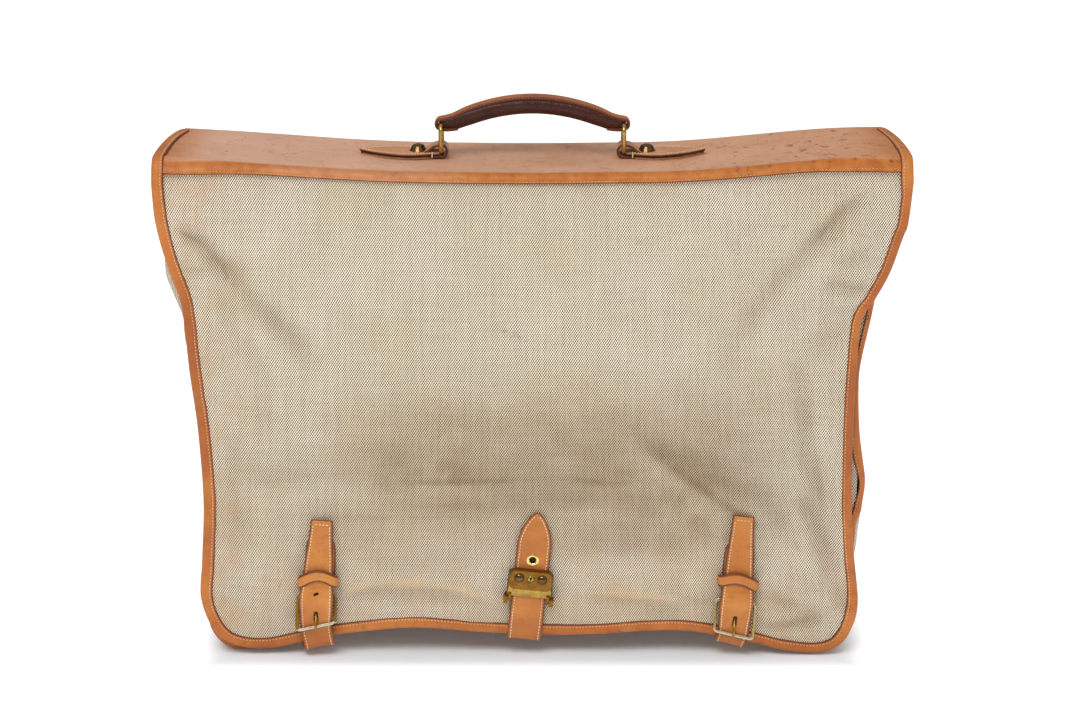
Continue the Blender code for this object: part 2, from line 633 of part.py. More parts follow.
for s, nm in ((-1, "cover_rivet_left"), (1, "cover_rivet_right")):
    prof = [(0.0, 2.6), (1.8, 2.3), (3.3, 1.4), (4.0, 0.3), (1.5, 0.3), (1.5, -3.7), (0.0, -3.7)]
    ob, hold = turned(nm, prof, BRASS, axis_to=(0, -1, 0))
    hold.parent = lj
    hold.location = Vector((s * 9.2, -COVER_N1 + PIN_N, KEY_S - PIN_Z)) * MM

# key plug, turns in the cover
kp = empty("lock_plug_joint", (0, 0, KEY_S - PIN_Z), lj)
AT_K = (0, -PIN_N, KEY_S)
plug = rod("lock_plug", 2.5, (0, -COVER_N0 - 0.3, KEY_S), (0, -COVER_N1 - 0.5, KEY_S), BRASS)
boolean(plug, cutter(seat(block("keyway", (-0.5, -12.0, KEY_S - 1.7), (0.5, -8.4, KEY_S + 0.9), BRASS), kp, AT_K)))
boolean(plug, cutter(seat(rod("keyway_eye", 0.9, (0, -8.4, KEY_S + 0.8), (0, -12.0, KEY_S + 0.8), BRASS, seg=10), kp, AT_K)))
seat(plug, kp, AT_K)

# ---------------------------------------------------------------- handle: lugs, rivets, rings, grip
for s, side in ((-1, "left"), (1, "right")):
    mid = 105.0
    slope = math.atan(2 * TOP_SAG * mid / 280.0 ** 2)
    # leaf-shaped lug lying on the top, rolled round the ring's lower bar
    half_leaf = [(72.5, 9.0), (79.0, 9.6), (86.0, 13.2), (94.0, 15.0), (104.0, 14.6), (114.0, 12.6), (124.0, 9.0), (132.0, 4.8), (137.5, 1.2)]
    leaf = [(s * x, y) for x, y in half_leaf] + [(s * x, -y) for x, y in reversed(half_leaf)]
    lug = plate("lug_" + side, leaf, -1.4, 1.4, LEATHER)
    lug.data.transform(Matrix.Rotation(math.radians(-90), 4, 'X'))
    lug.data.transform(Matrix.Translation((-s * mid * MM, 0, 0)))
    lug.data.transform(Matrix.Rotation(-s * slope, 4, 'Y'))
    lug.data.transform(Matrix.Translation((s * mid * MM, HANDLE_Y * MM, (z_top(mid) + 1.4 + 0.5) * MM)))
    loop_z = z_top(HANDLE_X) + RING_LOW
    boolean(lug, cutter(seat(rod("lug_roll_" + side, 5.5, (s * HANDLE_X, HANDLE_Y - 9.0, loop_z), (s * HANDLE_X, HANDLE_Y + 9.0, loop_z), LEATHER, seg=20), top_hinge, AT_TOP)), 'UNION')
    boolean(lug, cutter(seat(rod("lug_bore_" + side, RING_R + 1.4, (s * HANDLE_X, HANDLE_Y - 14, loop_z), (s * HANDLE_X, HANDLE_Y + 14, loop_z), LEATHER), top_hinge, AT_TOP)))
    rx, rz = s * 91.0, z_top(91.0)
    hole = cutter(seat(rod("lug_hole_" + side, 2.6, (rx, HANDLE_Y, rz - 20), (rx, HANDLE_Y, rz + 20), LEATHER, seg=12), top_hinge, AT_TOP))
    boolean(lug, hole)
    boolean(top_leather, hole)
    boolean(top_board, hole)
    seat(lug, top_hinge, AT_TOP)
    # rivet with its shank through lug, leather and board, and the washer below
    prof = [(0.0, 9.2), (3.2, 9.0), (4.9, 8.0), (6.0, 5.4), (6.2, 4.0), (2.2, 4.0), (2.2, -7.6), (0.0, -7.6)]
    ob, hold = turned("lug_rivet_" + side, prof, BRASS)
    hold.parent = top_hinge
    hold.location = Vector((rx, HANDLE_Y - AT_TOP[1], rz - AT_TOP[2])) * MM
    prof = [(2.5, -5.5), (6.0, -5.5), (6.0, -6.6), (2.5, -6.6)]
    ob, hold = turned("lug_washer_" + side, prof, BRASS)
    hold.parent = top_hinge
    hold.location = Vector((rx, HANDLE_Y - AT_TOP[1], rz - AT_TOP[2])) * MM

LOW_Z = z_top(HANDLE_X) + RING_LOW
HIGH_Z = LOW_Z + RING_H


def ring_pts(x):
    pts = []
    for cy, cz, a0 in ((RING_HALF - 5, HIGH_Z - 5, 0), (-RING_HALF + 5, HIGH_Z - 5, 90), (-RING_HALF + 5, LOW_Z + 5, 180), (RING_HALF - 5, LOW_Z + 5, 270)):
        for k in range(4):
            a = math.radians(a0 + 30.0 * k)
            pts.append((x, HANDLE_Y + cy + 5 * math.cos(a), cz + 5 * math.sin(a)))
    return pts


rl = empty("ring_left_joint", (-HANDLE_X, HANDLE_Y - TOP_HINGE_Y, LOW_Z - HINGE_Z), top_hinge)
rr = empty("ring_right_joint", (HANDLE_X, HANDLE_Y - TOP_HINGE_Y, LOW_Z - HINGE_Z), top_hinge)
seat(tube("ring_left", ring_pts(-HANDLE_X), RING_R, BRASS, cyclic=True), rl, (-HANDLE_X, HANDLE_Y, LOW_Z))
seat(tube("ring_right", ring_pts(HANDLE_X), RING_R, BRASS, cyclic=True), rr, (HANDLE_X, HANDLE_Y, LOW_Z))

hj = empty("handle_joint", (0, 0, RING_H), rl)
AT_H = (-HANDLE_X, HANDLE_Y, HIGH_Z)


def grip_z(x):
    return HANDLE_MID - HANDLE_DROP * x * x


# strap over the grip; each end is rolled round the upper bar of a ring
strap_line = [(-61.8, HIGH_Z - 3.6), (-68.5, HIGH_Z - 3.7)]
for k in range(7):
    a = math.radians(-90 - 30.0 * k)
    strap_line.append((-HANDLE_X + 3.5 * math.cos(a), HIGH_Z + 3.5 * math.sin(a)))
strap_line += [(-66.0, HIGH_Z + 4.9), (-60.0, grip_z(60.0) + 7.0)]
for k in range(1, 7):
    x = -60.0 + 10.0 * k
    strap_line.append((x, grip_z(x) + 7.0))
strap_line = strap_line + [(-x, z) for x, z in reversed(strap_line[:-1])]


def strap_fn(u, v):
    p = along(strap_line, u)
    return (p[0], HANDLE_Y + (2 * v - 1) * 8.0, p[1])


seat(sheet("handle_strap", len(strap_line) - 1, 1, strap_fn, 2.0, LEATHER, side=0.0, smooth=False), hj, AT_H)


def grip_fn(u, v):
    x = -59.5 + 119.0 * v
    a = 2 * math.pi * u
    end = 1.0 - 0.18 * (abs(x) / 59.5) ** 6
    return (x, HANDLE_Y + 9.2 * end * math.cos(a), grip_z(x) - 0.9 + 6.3 * end * math.sin(a))


seat(sheet("handle_grip", 12, 10, grip_fn, 1.8, DARK, side=-1.0, closed=True), hj, AT_H)
core = [(x, HANDLE_Y, grip_z(x) - 0.9) for x in range(-56, 57, 14)]
seat(tube("handle_core", core, 2.4, CORD), hj, AT_H)
bpy.context.view_layer.update()
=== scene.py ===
# Looks of the canvas and leather flap suitcase: soft panels, leather, stitching, metal, floor, light and camera.
# Lengths below are millimetres in the part's own frame; Y0 moves them to the shared frame.
import bpy
import bmesh
import math
import numpy as np
from mathutils import Vector, Matrix

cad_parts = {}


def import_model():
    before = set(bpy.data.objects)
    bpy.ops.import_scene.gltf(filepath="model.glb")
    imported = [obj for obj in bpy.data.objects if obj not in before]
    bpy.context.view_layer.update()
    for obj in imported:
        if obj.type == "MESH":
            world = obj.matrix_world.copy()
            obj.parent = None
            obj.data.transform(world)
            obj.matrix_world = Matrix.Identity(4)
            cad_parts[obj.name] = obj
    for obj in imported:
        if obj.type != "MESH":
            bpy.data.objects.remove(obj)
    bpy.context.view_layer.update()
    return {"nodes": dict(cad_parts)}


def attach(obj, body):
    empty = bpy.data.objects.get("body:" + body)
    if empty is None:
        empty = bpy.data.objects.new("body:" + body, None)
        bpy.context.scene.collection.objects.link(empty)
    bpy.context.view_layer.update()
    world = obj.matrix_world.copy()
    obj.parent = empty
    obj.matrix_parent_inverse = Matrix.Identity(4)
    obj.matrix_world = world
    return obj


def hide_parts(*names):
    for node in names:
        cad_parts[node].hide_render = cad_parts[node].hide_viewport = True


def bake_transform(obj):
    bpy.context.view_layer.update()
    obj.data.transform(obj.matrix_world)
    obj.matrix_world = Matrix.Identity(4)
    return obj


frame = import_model()
MM = 0.001
Y0 = 8.0


# ---------------------------------------------------------------- numbers
def unit(v):
    v = np.asarray(v, float)
    return v / np.maximum(np.linalg.norm(v, axis=-1, keepdims=True), 1e-12)


def sstep(a, b, x):
    t = np.clip((np.asarray(x, float) - a) / (b - a), 0.0, 1.0)
    return t * t * (3 - 2 * t)


def vnoise(x, y, seed=0):
    """Smooth value noise in [-1, 1], the same every run."""
    x, y = np.broadcast_arrays(np.asarray(x, float), np.asarray(y, float))
    xi, yi = np.floor(x).astype(np.int64), np.floor(y).astype(np.int64)
    u, v = x - xi, y - yi
    u, v = u * u * (3 - 2 * u), v * v * (3 - 2 * v)

    def h(i, j):
        k = (i * 374761393 + j * 668265263 + seed * 982451653) & 0xffffffff
        k = ((k ^ (k >> 13)) * 1274126177) & 0xffffffff
        return ((k ^ (k >> 16)) & 0xffff) / 32767.5 - 1.0
    a = h(xi, yi) * (1 - u) + h(xi + 1, yi) * u
    b = h(xi, yi + 1) * (1 - u) + h(xi + 1, yi + 1) * u
    return a * (1 - v) + b * v


def spline(pts, n=None, step=None):
    """Even points on a Catmull-Rom curve through pts, in any number of dimensions."""
    p = np.asarray(pts, float)
    ext = np.vstack([2 * p[0] - p[1], p, 2 * p[-1] - p[-2]])
    t = np.linspace(0, 1, 24, endpoint=False)[:, None]
    out = []
    for i in range(len(p) - 1):
        a, b, c, d = ext[i:i + 4]
        out.append(0.5 * (2 * b + (c - a) * t + (2 * a - 5 * b + 4 * c - d) * t ** 2 + (3 * b - a - 3 * c + d) * t ** 3))
    fine = np.vstack(out + [p[-1:]])
    return even(fine, n, step)


def even(fine, n=None, step=None):
    run = np.r_[0, np.cumsum(np.linalg.norm(np.diff(fine[:, :3], axis=0), axis=1))]
    if n is None:
        n = max(2, int(round(run[-1] / step)) + 1)
    at = np.linspace(0, run[-1], n)
    return np.stack([np.interp(at, run, fine[:, k]) for k in range(fine.shape[1])], 1)


def tangents(c, closed=False):
    c = np.asarray(c, float)
    return unit(np.roll(c, -1, 0) - np.roll(c, 1, 0)) if closed else unit(np.gradient(c, axis=0))


# ---------------------------------------------------------------- mesh makers
def link(ob):
    bpy.context.scene.collection.objects.link(ob)
    return ob


def set_rest(ob):
    """Keeps each point's place at rest, in millimetres, for the materials."""
    me = ob.data
    co = np.zeros(len(me.vertices) * 3, np.float32)
    me.vertices.foreach_get("co", co)
    a = me.attributes.get("rest") or me.attributes.new("rest", 'FLOAT_VECTOR', 'POINT')
    a.data.foreach_set("vector", co * 1000.0)


def put(me, name, values):
    values = np.asarray(values, np.float32)
    if values.ndim == 1:
        me.attributes.new(name, 'FLOAT', 'POINT').data.foreach_set("value", values)
    else:
        if values.shape[1] == 2:
            values = np.c_[values, np.zeros(len(values), np.float32)]
        me.attributes.new(name, 'FLOAT_VECTOR', 'POINT').data.foreach_set("vector", values.astype(np.float32).ravel())


def piece(name, V, F, mats, edge=None, cloth=None, tone=None, fmat=None, sharp=38, fix=True):
    V = np.array(V, float).reshape(-1, 3)
    V[:, 1] += Y0
    me = bpy.data.meshes.new(name)
    me.from_pydata((V * MM).tolist(), [], F)
    for m in mats if isinstance(mats, (list, tuple)) else [mats]:
        me.materials.append(m)
    if fmat is not None:
        me.polygons.foreach_set("material_index", np.asarray(fmat, np.int32))
    if edge is not None:
        put(me, "edge", edge)
    if cloth is not None:
        put(me, "cloth", cloth)
    if tone is not None:
        put(me, "tone", tone)
    if fix:
        bm = bmesh.new()
        bm.from_mesh(me)
        bmesh.ops.recalc_face_normals(bm, faces=bm.faces)
        bm.to_mesh(me)
        bm.free()
    me.shade_smooth()
    if sharp:
        me.set_sharp_from_angle(angle=math.radians(sharp))
    ob = link(bpy.data.objects.new(name, me))
    set_rest(ob)
    return ob


def shell(name, P, t, mats, cloth=None, edge=None, out=None, tone=None, inner=0, sharp=50):
    """A sheet of thickness t below the surface P (nu, nv, 3), closed all round."""
    nu, nv = P.shape[:2]
    n = unit(np.cross(np.gradient(P, axis=0), np.gradient(P, axis=1)))
    if out is not None and float((n * np.asarray(out)).sum(-1).mean()) < 0:
        n = -n
    Q = P - n * (t if np.isscalar(t) else np.asarray(t)[..., None])
    V = np.vstack([P.reshape(-1, 3), Q.reshape(-1, 3)])
    k = np.arange(nu * nv).reshape(nu, nv)
    a = np.stack([k[:-1, :-1], k[1:, :-1], k[1:, 1:], k[:-1, 1:]], -1).reshape(-1, 4)
    b = a[:, ::-1] + nu * nv
    ring = np.concatenate([k[:, 0], k[-1, 1:], k[-2::-1, -1], k[0, -2:0:-1]])
    nxt = np.roll(ring, -1)
    c = np.stack([ring, nxt, nxt + nu * nv, ring + nu * nv], -1)
    F = np.vstack([a, b, c]).tolist()
    fm = np.r_[np.zeros(len(a)), np.full(len(b), inner), np.zeros(len(c))]
    if cloth is not None:
        cl = np.asarray(cloth, float).reshape(nu * nv, -1)
        cloth = np.vstack([cl, cl])
    if edge is not None:
        e = np.asarray(edge, float).reshape(-1)
        ring_e = np.zeros(nu * nv)
        ring_e[ring] = 1.0
        edge = np.r_[np.maximum(e, 0), np.maximum(e, ring_e)]
    if tone is not None:
        tone = np.tile(np.asarray(tone, float).reshape(-1), 2)
    return piece(name, V, F, mats, edge=edge, cloth=cloth, tone=tone, fmat=fm, sharp=sharp)


def sweep(name, C, A, N, S, mats, closed=False, edge=None, caps=True, sharp=38, tone=None):
    """Section S, (m, 2) or one for each station, carried along C; its first number runs along A and its second along N."""
    C = np.asarray(C, float)
    n = len(C)
    S = np.asarray(S, float)
    if S.ndim == 2:
        S = np.broadcast_to(S, (n,) + S.shape)
    m = S.shape[1]
    A, N = np.broadcast_to(A, C.shape), np.broadcast_to(N, C.shape)
    V = C[:, None] + S[..., 0:1] * A[:, None] + S[..., 1:2] * N[:, None]
    i = np.arange(n if closed else n - 1)[:, None]
    j = np.arange(m)[None]
    a, b, k = i * m, ((i + 1) % n) * m, (j + 1) % m
    F = np.stack([a + j, a + k, b + k, b + j], -1).reshape(-1, 4).tolist()
    if caps and not closed:
        F.append(list(range(m))[::-1])
        F.append([(n - 1) * m + q for q in range(m)])
    if edge is not None:
        edge = np.broadcast_to(np.asarray(edge, float), (n, m)).reshape(-1)
    if tone is not None:
        tone = np.broadcast_to(np.asarray(tone, float)[:, None], (n, m)).reshape(-1)
    return piece(name, V.reshape(-1, 3), F, mats, edge=edge, sharp=sharp, tone=tone)


def circle(r, m=14):
    a = np.linspace(0, 2 * math.pi, m, endpoint=False)
    return np.c_[r * np.cos(a), r * np.sin(a)]


def wire(name, C, r, mat, closed=False, m=14, flat=1.0):
    """Round or flattened wire along C; r may change along it."""
    C = np.asarray(C, float)
    T = tangents(C, closed)
    ref = np.array([0.0, 0.0, 1.0]) if abs(T[:, 2]).mean() < 0.6 else np.array([0.0, 1.0, 0.0])
    A = unit(np.cross(T, ref))
    N = np.cross(A, T)
    r = np.broadcast_to(np.asarray(r, float), (len(C),))
    S = circle(1.0, m)[None] * r[:, None, None]
    S = S * np.array([1.0, flat])
    return sweep(name, C, A, N, S, mat, closed)


def strip_section(half, t, r=0.7, m=7, crown=0.0):
    """Section of a flat leather strip with eased edges, and how far each point counts as cut edge."""
    r = min(r, half * 0.4, t * 0.45)
    inn = half - r - 0.16 * min(half, 5)
    x = np.r_[-(half - r), -inn, np.linspace(-inn + 0.24 * min(half, 6), inn - 0.24 * min(half, 6), m - 4), inn, half - r]
    up = np.c_[x, t / 2 + crown * (1 - (x / half) ** 2)]
    side = np.array([[half - 0.3 * r, t / 2 - 0.28 * r], [half, t / 2 - r], [half, -t / 2 + r], [half - 0.3 * r, -t / 2 + 0.28 * r]])
    dn = np.c_[x[::-1], np.full(m, -t / 2)]
    S = np.vstack([up, side, dn, side[::-1] * [-1, 1]])
    e = np.r_[0.85, 0.42, np.zeros(m - 4), 0.42, 0.85, 1, 1, 1, 0.8, np.full(m, 0.45), 0.8, 1, 1, 0.75]
    return S, e


def strap(name, C, A, N, half, t, mats, r=0.7, m=7, crown=0.0, ease=(True, True), tone=None):
    """A leather strip along C with its width and thickness given at each station; eased ends."""
    n = len(C)
    half = np.broadcast_to(np.asarray(half, float), (n,)).copy()
    t = np.broadcast_to(np.asarray(t, float), (n,)).copy()
    S, E = [], []
    for i in range(n):
        s, e = strip_section(half[i], t[i], r, m, crown)
        S.append(s)
        E.append(e)
    S, E = np.array(S), np.array(E)
    C = np.array(C, float)
    T = tangents(C)
    for on, end in zip(ease, (0, -1)):
        if on:      # two extra stations round the end off
            sgn = -1 if end == 0 else 1
            s1, s2 = S[end].copy(), S[end].copy()
            s1[:, 1] *= 0.86
            s2[:, 1] *= 0.5
            s2[:, 0] *= 0.985
            e1, e2 = np.maximum(E[end], 0.55), np.ones_like(E[end])
            c1, c2 = C[end] + sgn * T[end] * 0.3, C[end] + sgn * T[end] * 0.55
            An, Nn = np.broadcast_to(A, C.shape), np.broadcast_to(N, C.shape)
            if end == 0:
                S, E, C = np.concatenate([[s2, s1], S]), np.concatenate([[e2, e1], E]), np.vstack([c2, c1, C])
                A, N = np.vstack([An[:1], An[:1], An]), np.vstack([Nn[:1], Nn[:1], Nn])
                T = np.vstack([T[:1], T[:1], T])
                tone = None if tone is None else np.r_[tone[:1], tone[:1], tone]
            else:
                S, E, C = np.concatenate([S, [s1, s2]]), np.concatenate([E, [e1, e2]]), np.vstack([C, c1, c2])
                A, N = np.vstack([An, An[-1:], An[-1:]]), np.vstack([Nn, Nn[-1:], Nn[-1:]])
                T = np.vstack([T, T[-1:], T[-1:]])
                tone = None if tone is None else np.r_[tone, tone[-1:], tone[-1:]]
    return sweep(name, C, A, N, S, mats, edge=E, tone=tone)


def turned(name, prof, at, axis, mat, seg=40, edge=None, close=True):
    """Profile [(radius, height)] turned about axis through at; radius 0 closes an end."""
    ax = unit(np.asarray(axis, float))
    ref = np.array([1.0, 0, 0]) if abs(ax[0]) < 0.8 else np.array([0, 1.0, 0])
    u = unit(np.cross(ax, ref))
    v = np.cross(ax, u)
    a = np.linspace(0, 2 * math.pi, seg, endpoint=False)
    V, rows = [], []
    for r, h in prof:
        if r <= 1e-9:
            rows.append([len(V)])
            V.append(np.asarray(at) + ax * h)
        else:
            rows.append(list(range(len(V), len(V) + seg)))
            V += [np.asarray(at) + ax * h + r * (math.cos(q) * u + math.sin(q) * v) for q in a]
    F = []
    loop = list(zip(rows, rows[1:]))
    if close and len(rows[0]) > 1 and len(rows[-1]) > 1:
        loop.append((rows[-1], rows[0]))
    for p, q in loop:
        for k in range(seg):
            k2 = (k + 1) % seg
            f = []
            f += [p[0]] if len(p) == 1 else [p[k], p[k2]]
            f += [q[0]] if len(q) == 1 else [q[k2], q[k]]
            if len(f) > 2:
                F.append(f)
    return piece(name, V, F, mat, sharp=32)


def cut(ob, cutters):
    """Cuts closed meshes out of ob and keeps the result."""
    for c in cutters:
        m = ob.modifiers.new("cut", 'BOOLEAN')
        m.operation = 'DIFFERENCE'
        m.object = c
        m.solver = 'EXACT'
    bpy.context.view_layer.update()
    dg = bpy.context.evaluated_depsgraph_get()
    me = bpy.data.meshes.new_from_object(ob.evaluated_get(dg))
    old = ob.data
    ob.modifiers.clear()
    ob.data = me
    bpy.data.meshes.remove(old)
    for c in cutters:
        d = c.data
        bpy.data.objects.remove(c, do_unlink=True)
        bpy.data.meshes.remove(d)
    me.set_sharp_from_angle(angle=math.radians(38))
    set_rest(ob)
    return ob


def soften(ob, width=0.35, seg=2, angle=25):
    """Rounds off the edges of a hard piece."""
    bm = bmesh.new()
    bm.from_mesh(ob.data)
    bmesh.ops.remove_doubles(bm, verts=bm.verts, dist=1e-6)
    ed = [e for e in bm.edges if e.is_manifold and e.calc_face_angle(0) > math.radians(angle)]
    bmesh.ops.bevel(bm, geom=ed, offset=width * MM, segments=seg, profile=0.5, affect='EDGES', clamp_overlap=True)
    bmesh.ops.recalc_face_normals(bm, faces=bm.faces)
    bm.to_mesh(ob.data)
    bm.free()
    ob.data.shade_smooth()
    ob.data.set_sharp_from_angle(angle=math.radians(30))
    set_rest(ob)
    return ob


def join(obs, name):
    """Joins pieces of one body into one object."""
    for o in bpy.context.selected_objects:
        o.select_set(False)
    for o in obs:
        o.select_set(True)
    bpy.context.view_layer.objects.active = obs[0]
    with bpy.context.temp_override(active_object=obs[0], selected_objects=obs, selected_editable_objects=obs, object=obs[0]):
        bpy.ops.object.join()
    obs[0].name = name
    obs[0].data.name = name
    return obs[0]


class Thread:
    """Collects stitches and makes one mesh of them."""

    def __init__(self):
        self.V, self.F, self.n, self.k = [], [], 0, 0

    def row(self, P, N, pitch=3.2, share=0.72, r=0.42, lift=0.12, slant=0.0):
        P, N = np.asarray(P, float), np.broadcast_to(np.asarray(N, float), np.shape(P))
        run = np.r_[0, np.cumsum(np.linalg.norm(np.diff(P, axis=0), axis=1))]
        k = max(1, int(round(run[-1] / pitch)))
        at = (np.arange(k) + 0.5) * run[-1] / k
        half = run[-1] / k * share / 2

        def look(q, X):
            return np.stack([np.interp(q, run, X[:, c]) for c in range(3)], 1)
        c, n = look(at, P), unit(look(at, N))
        t = unit(look(at + half, P) - look(at - half, P))
        s = unit(np.cross(t, n))
        w = 0.5 * vnoise(np.arange(k) * 1.7 + self.k * 31.3, np.zeros(k), 5)
        t = unit(t + s * (slant + 0.10 * w)[:, None])
        s = unit(np.cross(t, n))
        half = half * (1 + 0.12 * w)
        self.k += 1
        qs = np.array([-0.9, -0.5, 0.0, 0.5, 0.9])
        rr = r * np.array([0.62, 0.95, 1.0, 0.95, 0.62])
        hh = lift + r * np.array([-0.28, 0.18, 0.3, 0.18, -0.28])
        a = np.arange(6) * math.pi / 3
        ring = (c[:, None, None] + (qs[None, :, None, None] * half[:, None, None, None]) * t[:, None, None]
                + hh[None, :, None, None] * n[:, None, None]
                + rr[None, :, None, None] * (np.cos(a)[None, None, :, None] * s[:, None, None] + 0.85 * np.sin(a)[None, None, :, None] * n[:, None, None]))
        ends = c[:, None] + np.array([-1.0, 1.0])[None, :, None] * half[:, None, None] * t[:, None] + (lift - 0.6 * r) * n[:, None]
        V = np.concatenate([ring.reshape(k, 30, 3), ends], 1)
        F = []
        for i in range(4):
            for j in range(6):
                F.append((i * 6 + j, i * 6 + (j + 1) % 6, (i + 1) * 6 + (j + 1) % 6, (i + 1) * 6 + j))
        tri = [(30, (j + 1) % 6, j) for j in range(6)] + [(31, 24 + j, 24 + (j + 1) % 6) for j in range(6)]
        for q in range(k):
            o = self.n + q * 32
            self.F += [tuple(o + x for x in f) for f in F] + [tuple(o + x for x in f) for f in tri]
        self.V.append(V.reshape(-1, 3))
        self.n += k * 32

    def make(self, name, mat=None):
        return piece(name, np.vstack(self.V), self.F, mat or THREAD, sharp=0)


# ---------------------------------------------------------------- materials
def srgb(r, g, b):
    return tuple((c / 255 / 12.92 if c / 255 <= 0.04045 else ((c / 255 + 0.055) / 1.055) ** 2.4) for c in (r, g, b)) + (1.0,)


class Mat:
    def __init__(self, name, rough=0.6, metal=0.0, spec=0.5, sheen=0.0, coat=0.0, frame_coords=False):
        self.m = bpy.data.materials.new(name)
        self.m.use_nodes = True
        self.nt = self.m.node_tree
        self.b = self.nt.nodes["Principled BSDF"]
        self.b.inputs["Roughness"].default_value = rough
        self.b.inputs["Metallic"].default_value = metal
        self.b.inputs["Specular IOR Level"].default_value = spec
        if sheen:
            self.b.inputs["Sheen Weight"].default_value = sheen
            self.b.inputs["Sheen Roughness"].default_value = 0.5
        if coat:
            self.b.inputs["Coat Weight"].default_value = coat
            self.b.inputs["Coat Roughness"].default_value = 0.25
        if frame_coords:
            tc = self.nt.nodes.new("ShaderNodeTexCoord")
            self.rest = self.vmath('SCALE', tc.outputs["Object"], scale=1000.0)
        else:
            self.rest = self.attr("rest", "Vector")
        self._xyz = None

    def attr(self, name, out="Fac"):
        a = self.nt.nodes.new("ShaderNodeAttribute")
        a.attribute_name = name
        return a.outputs[out]

    def plug(self, sock, v):
        if isinstance(v, bpy.types.NodeSocket):
            self.nt.links.new(v, sock)
        else:
            sock.default_value = v

    def math(self, op, a, b=0.0, c=None, clamp=False):
        n = self.nt.nodes.new("ShaderNodeMath")
        n.operation = op
        n.use_clamp = clamp
        self.plug(n.inputs[0], a)
        self.plug(n.inputs[1], b)
        if c is not None:
            self.plug(n.inputs[2], c)
        return n.outputs[0]

    def vmath(self, op, a, b=None, scale=None):
        n = self.nt.nodes.new("ShaderNodeVectorMath")
        n.operation = op
        self.plug(n.inputs[0], a)
        if b is not None:
            self.plug(n.inputs[1], b)
        if scale is not None:
            self.plug(n.inputs["Scale"], scale)
        return n.outputs["Value"] if op in ('DOT_PRODUCT', 'LENGTH', 'DISTANCE') else n.outputs["Vector"]

    def xyz(self, v=None):
        if v is None and self._xyz:
            return self._xyz
        n = self.nt.nodes.new("ShaderNodeSeparateXYZ")
        self.plug(n.inputs[0], self.rest if v is None else v)
        o = (n.outputs[0], n.outputs[1], n.outputs[2])
        if v is None:
            self._xyz = o
        return o

    def join3(self, x, y, z=0.0):
        n = self.nt.nodes.new("ShaderNodeCombineXYZ")
        for s, v in zip(n.inputs, (x, y, z)):
            self.plug(s, v)
        return n.outputs[0]

    def noise(self, size, detail=3.0, rough=0.55, vec=None, stretch=None, lac=2.0):
        """Noise with features of about size millimetres."""
        v = self.rest if vec is None else vec
        if stretch is not None:
            v = self.vmath('MULTIPLY', v, stretch)
        n = self.nt.nodes.new("ShaderNodeTexNoise")
        n.inputs["Scale"].default_value = 1.0 / size
        n.inputs["Detail"].default_value = detail
        n.inputs["Roughness"].default_value = rough
        n.inputs["Lacunarity"].default_value = lac
        self.plug(n.inputs["Vector"], v)
        return n.outputs["Fac"]

    def cells(self, size, feature='F1', vec=None):
        n = self.nt.nodes.new("ShaderNodeTexVoronoi")
        n.feature = feature
        n.inputs["Scale"].default_value = 1.0 / size
        self.plug(n.inputs["Vector"], self.rest if vec is None else vec)
        return n.outputs["Distance"]

    def ramp(self, v, a, b, lo=0.0, hi=1.0):
        n = self.nt.nodes.new("ShaderNodeMapRange")
        n.interpolation_type = 'SMOOTHSTEP'
        self.plug(n.inputs["Value"], v)
        n.inputs["From Min"].default_value = a
        n.inputs["From Max"].default_value = b
        n.inputs["To Min"].default_value = lo
        n.inputs["To Max"].default_value = hi
        return n.outputs["Result"]

    def mix(self, f, a, b, blend='MIX'):
        n = self.nt.nodes.new("ShaderNodeMix")
        n.data_type = 'RGBA'
        n.blend_type = blend
        self.plug(n.inputs[0], f)
        self.plug(n.inputs[6], a)
        self.plug(n.inputs[7], b)
        return n.outputs[2]

    def blob(self, cx, cz, rx, rz, turn=0.0, soft=0.0, plane="xz"):
        """1 inside an ellipse in the front plane, falling to 0 at its rim."""
        x, y, z = self.xyz()
        z = z if plane == "xz" else y
        dx, dz = self.math('SUBTRACT', x, cx), self.math('SUBTRACT', z, cz)
        c, s = math.cos(math.radians(turn)), math.sin(math.radians(turn))
        u = self.math('ADD', self.math('MULTIPLY', dx, c / rx), self.math('MULTIPLY', dz, s / rx))
        v = self.math('ADD', self.math('MULTIPLY', dx, -s / rz), self.math('MULTIPLY', dz, c / rz))
        d = self.math('SQRT', self.math('ADD', self.math('MULTIPLY', u, u), self.math('MULTIPLY', v, v)))
        return self.ramp(d, 1.0, soft)

    def color(self, c):
        self.plug(self.b.inputs["Base Color"], c)

    def rough(self, r):
        self.plug(self.b.inputs["Roughness"], r)

    def bump(self, h, dist, strength=1.0):
        n = self.nt.nodes.new("ShaderNodeBump")
        n.inputs["Strength"].default_value = strength
        n.inputs["Distance"].default_value = dist * MM
        self.plug(n.inputs["Height"], h)
        self.nt.links.new(n.outputs[0], self.b.inputs["Normal"])


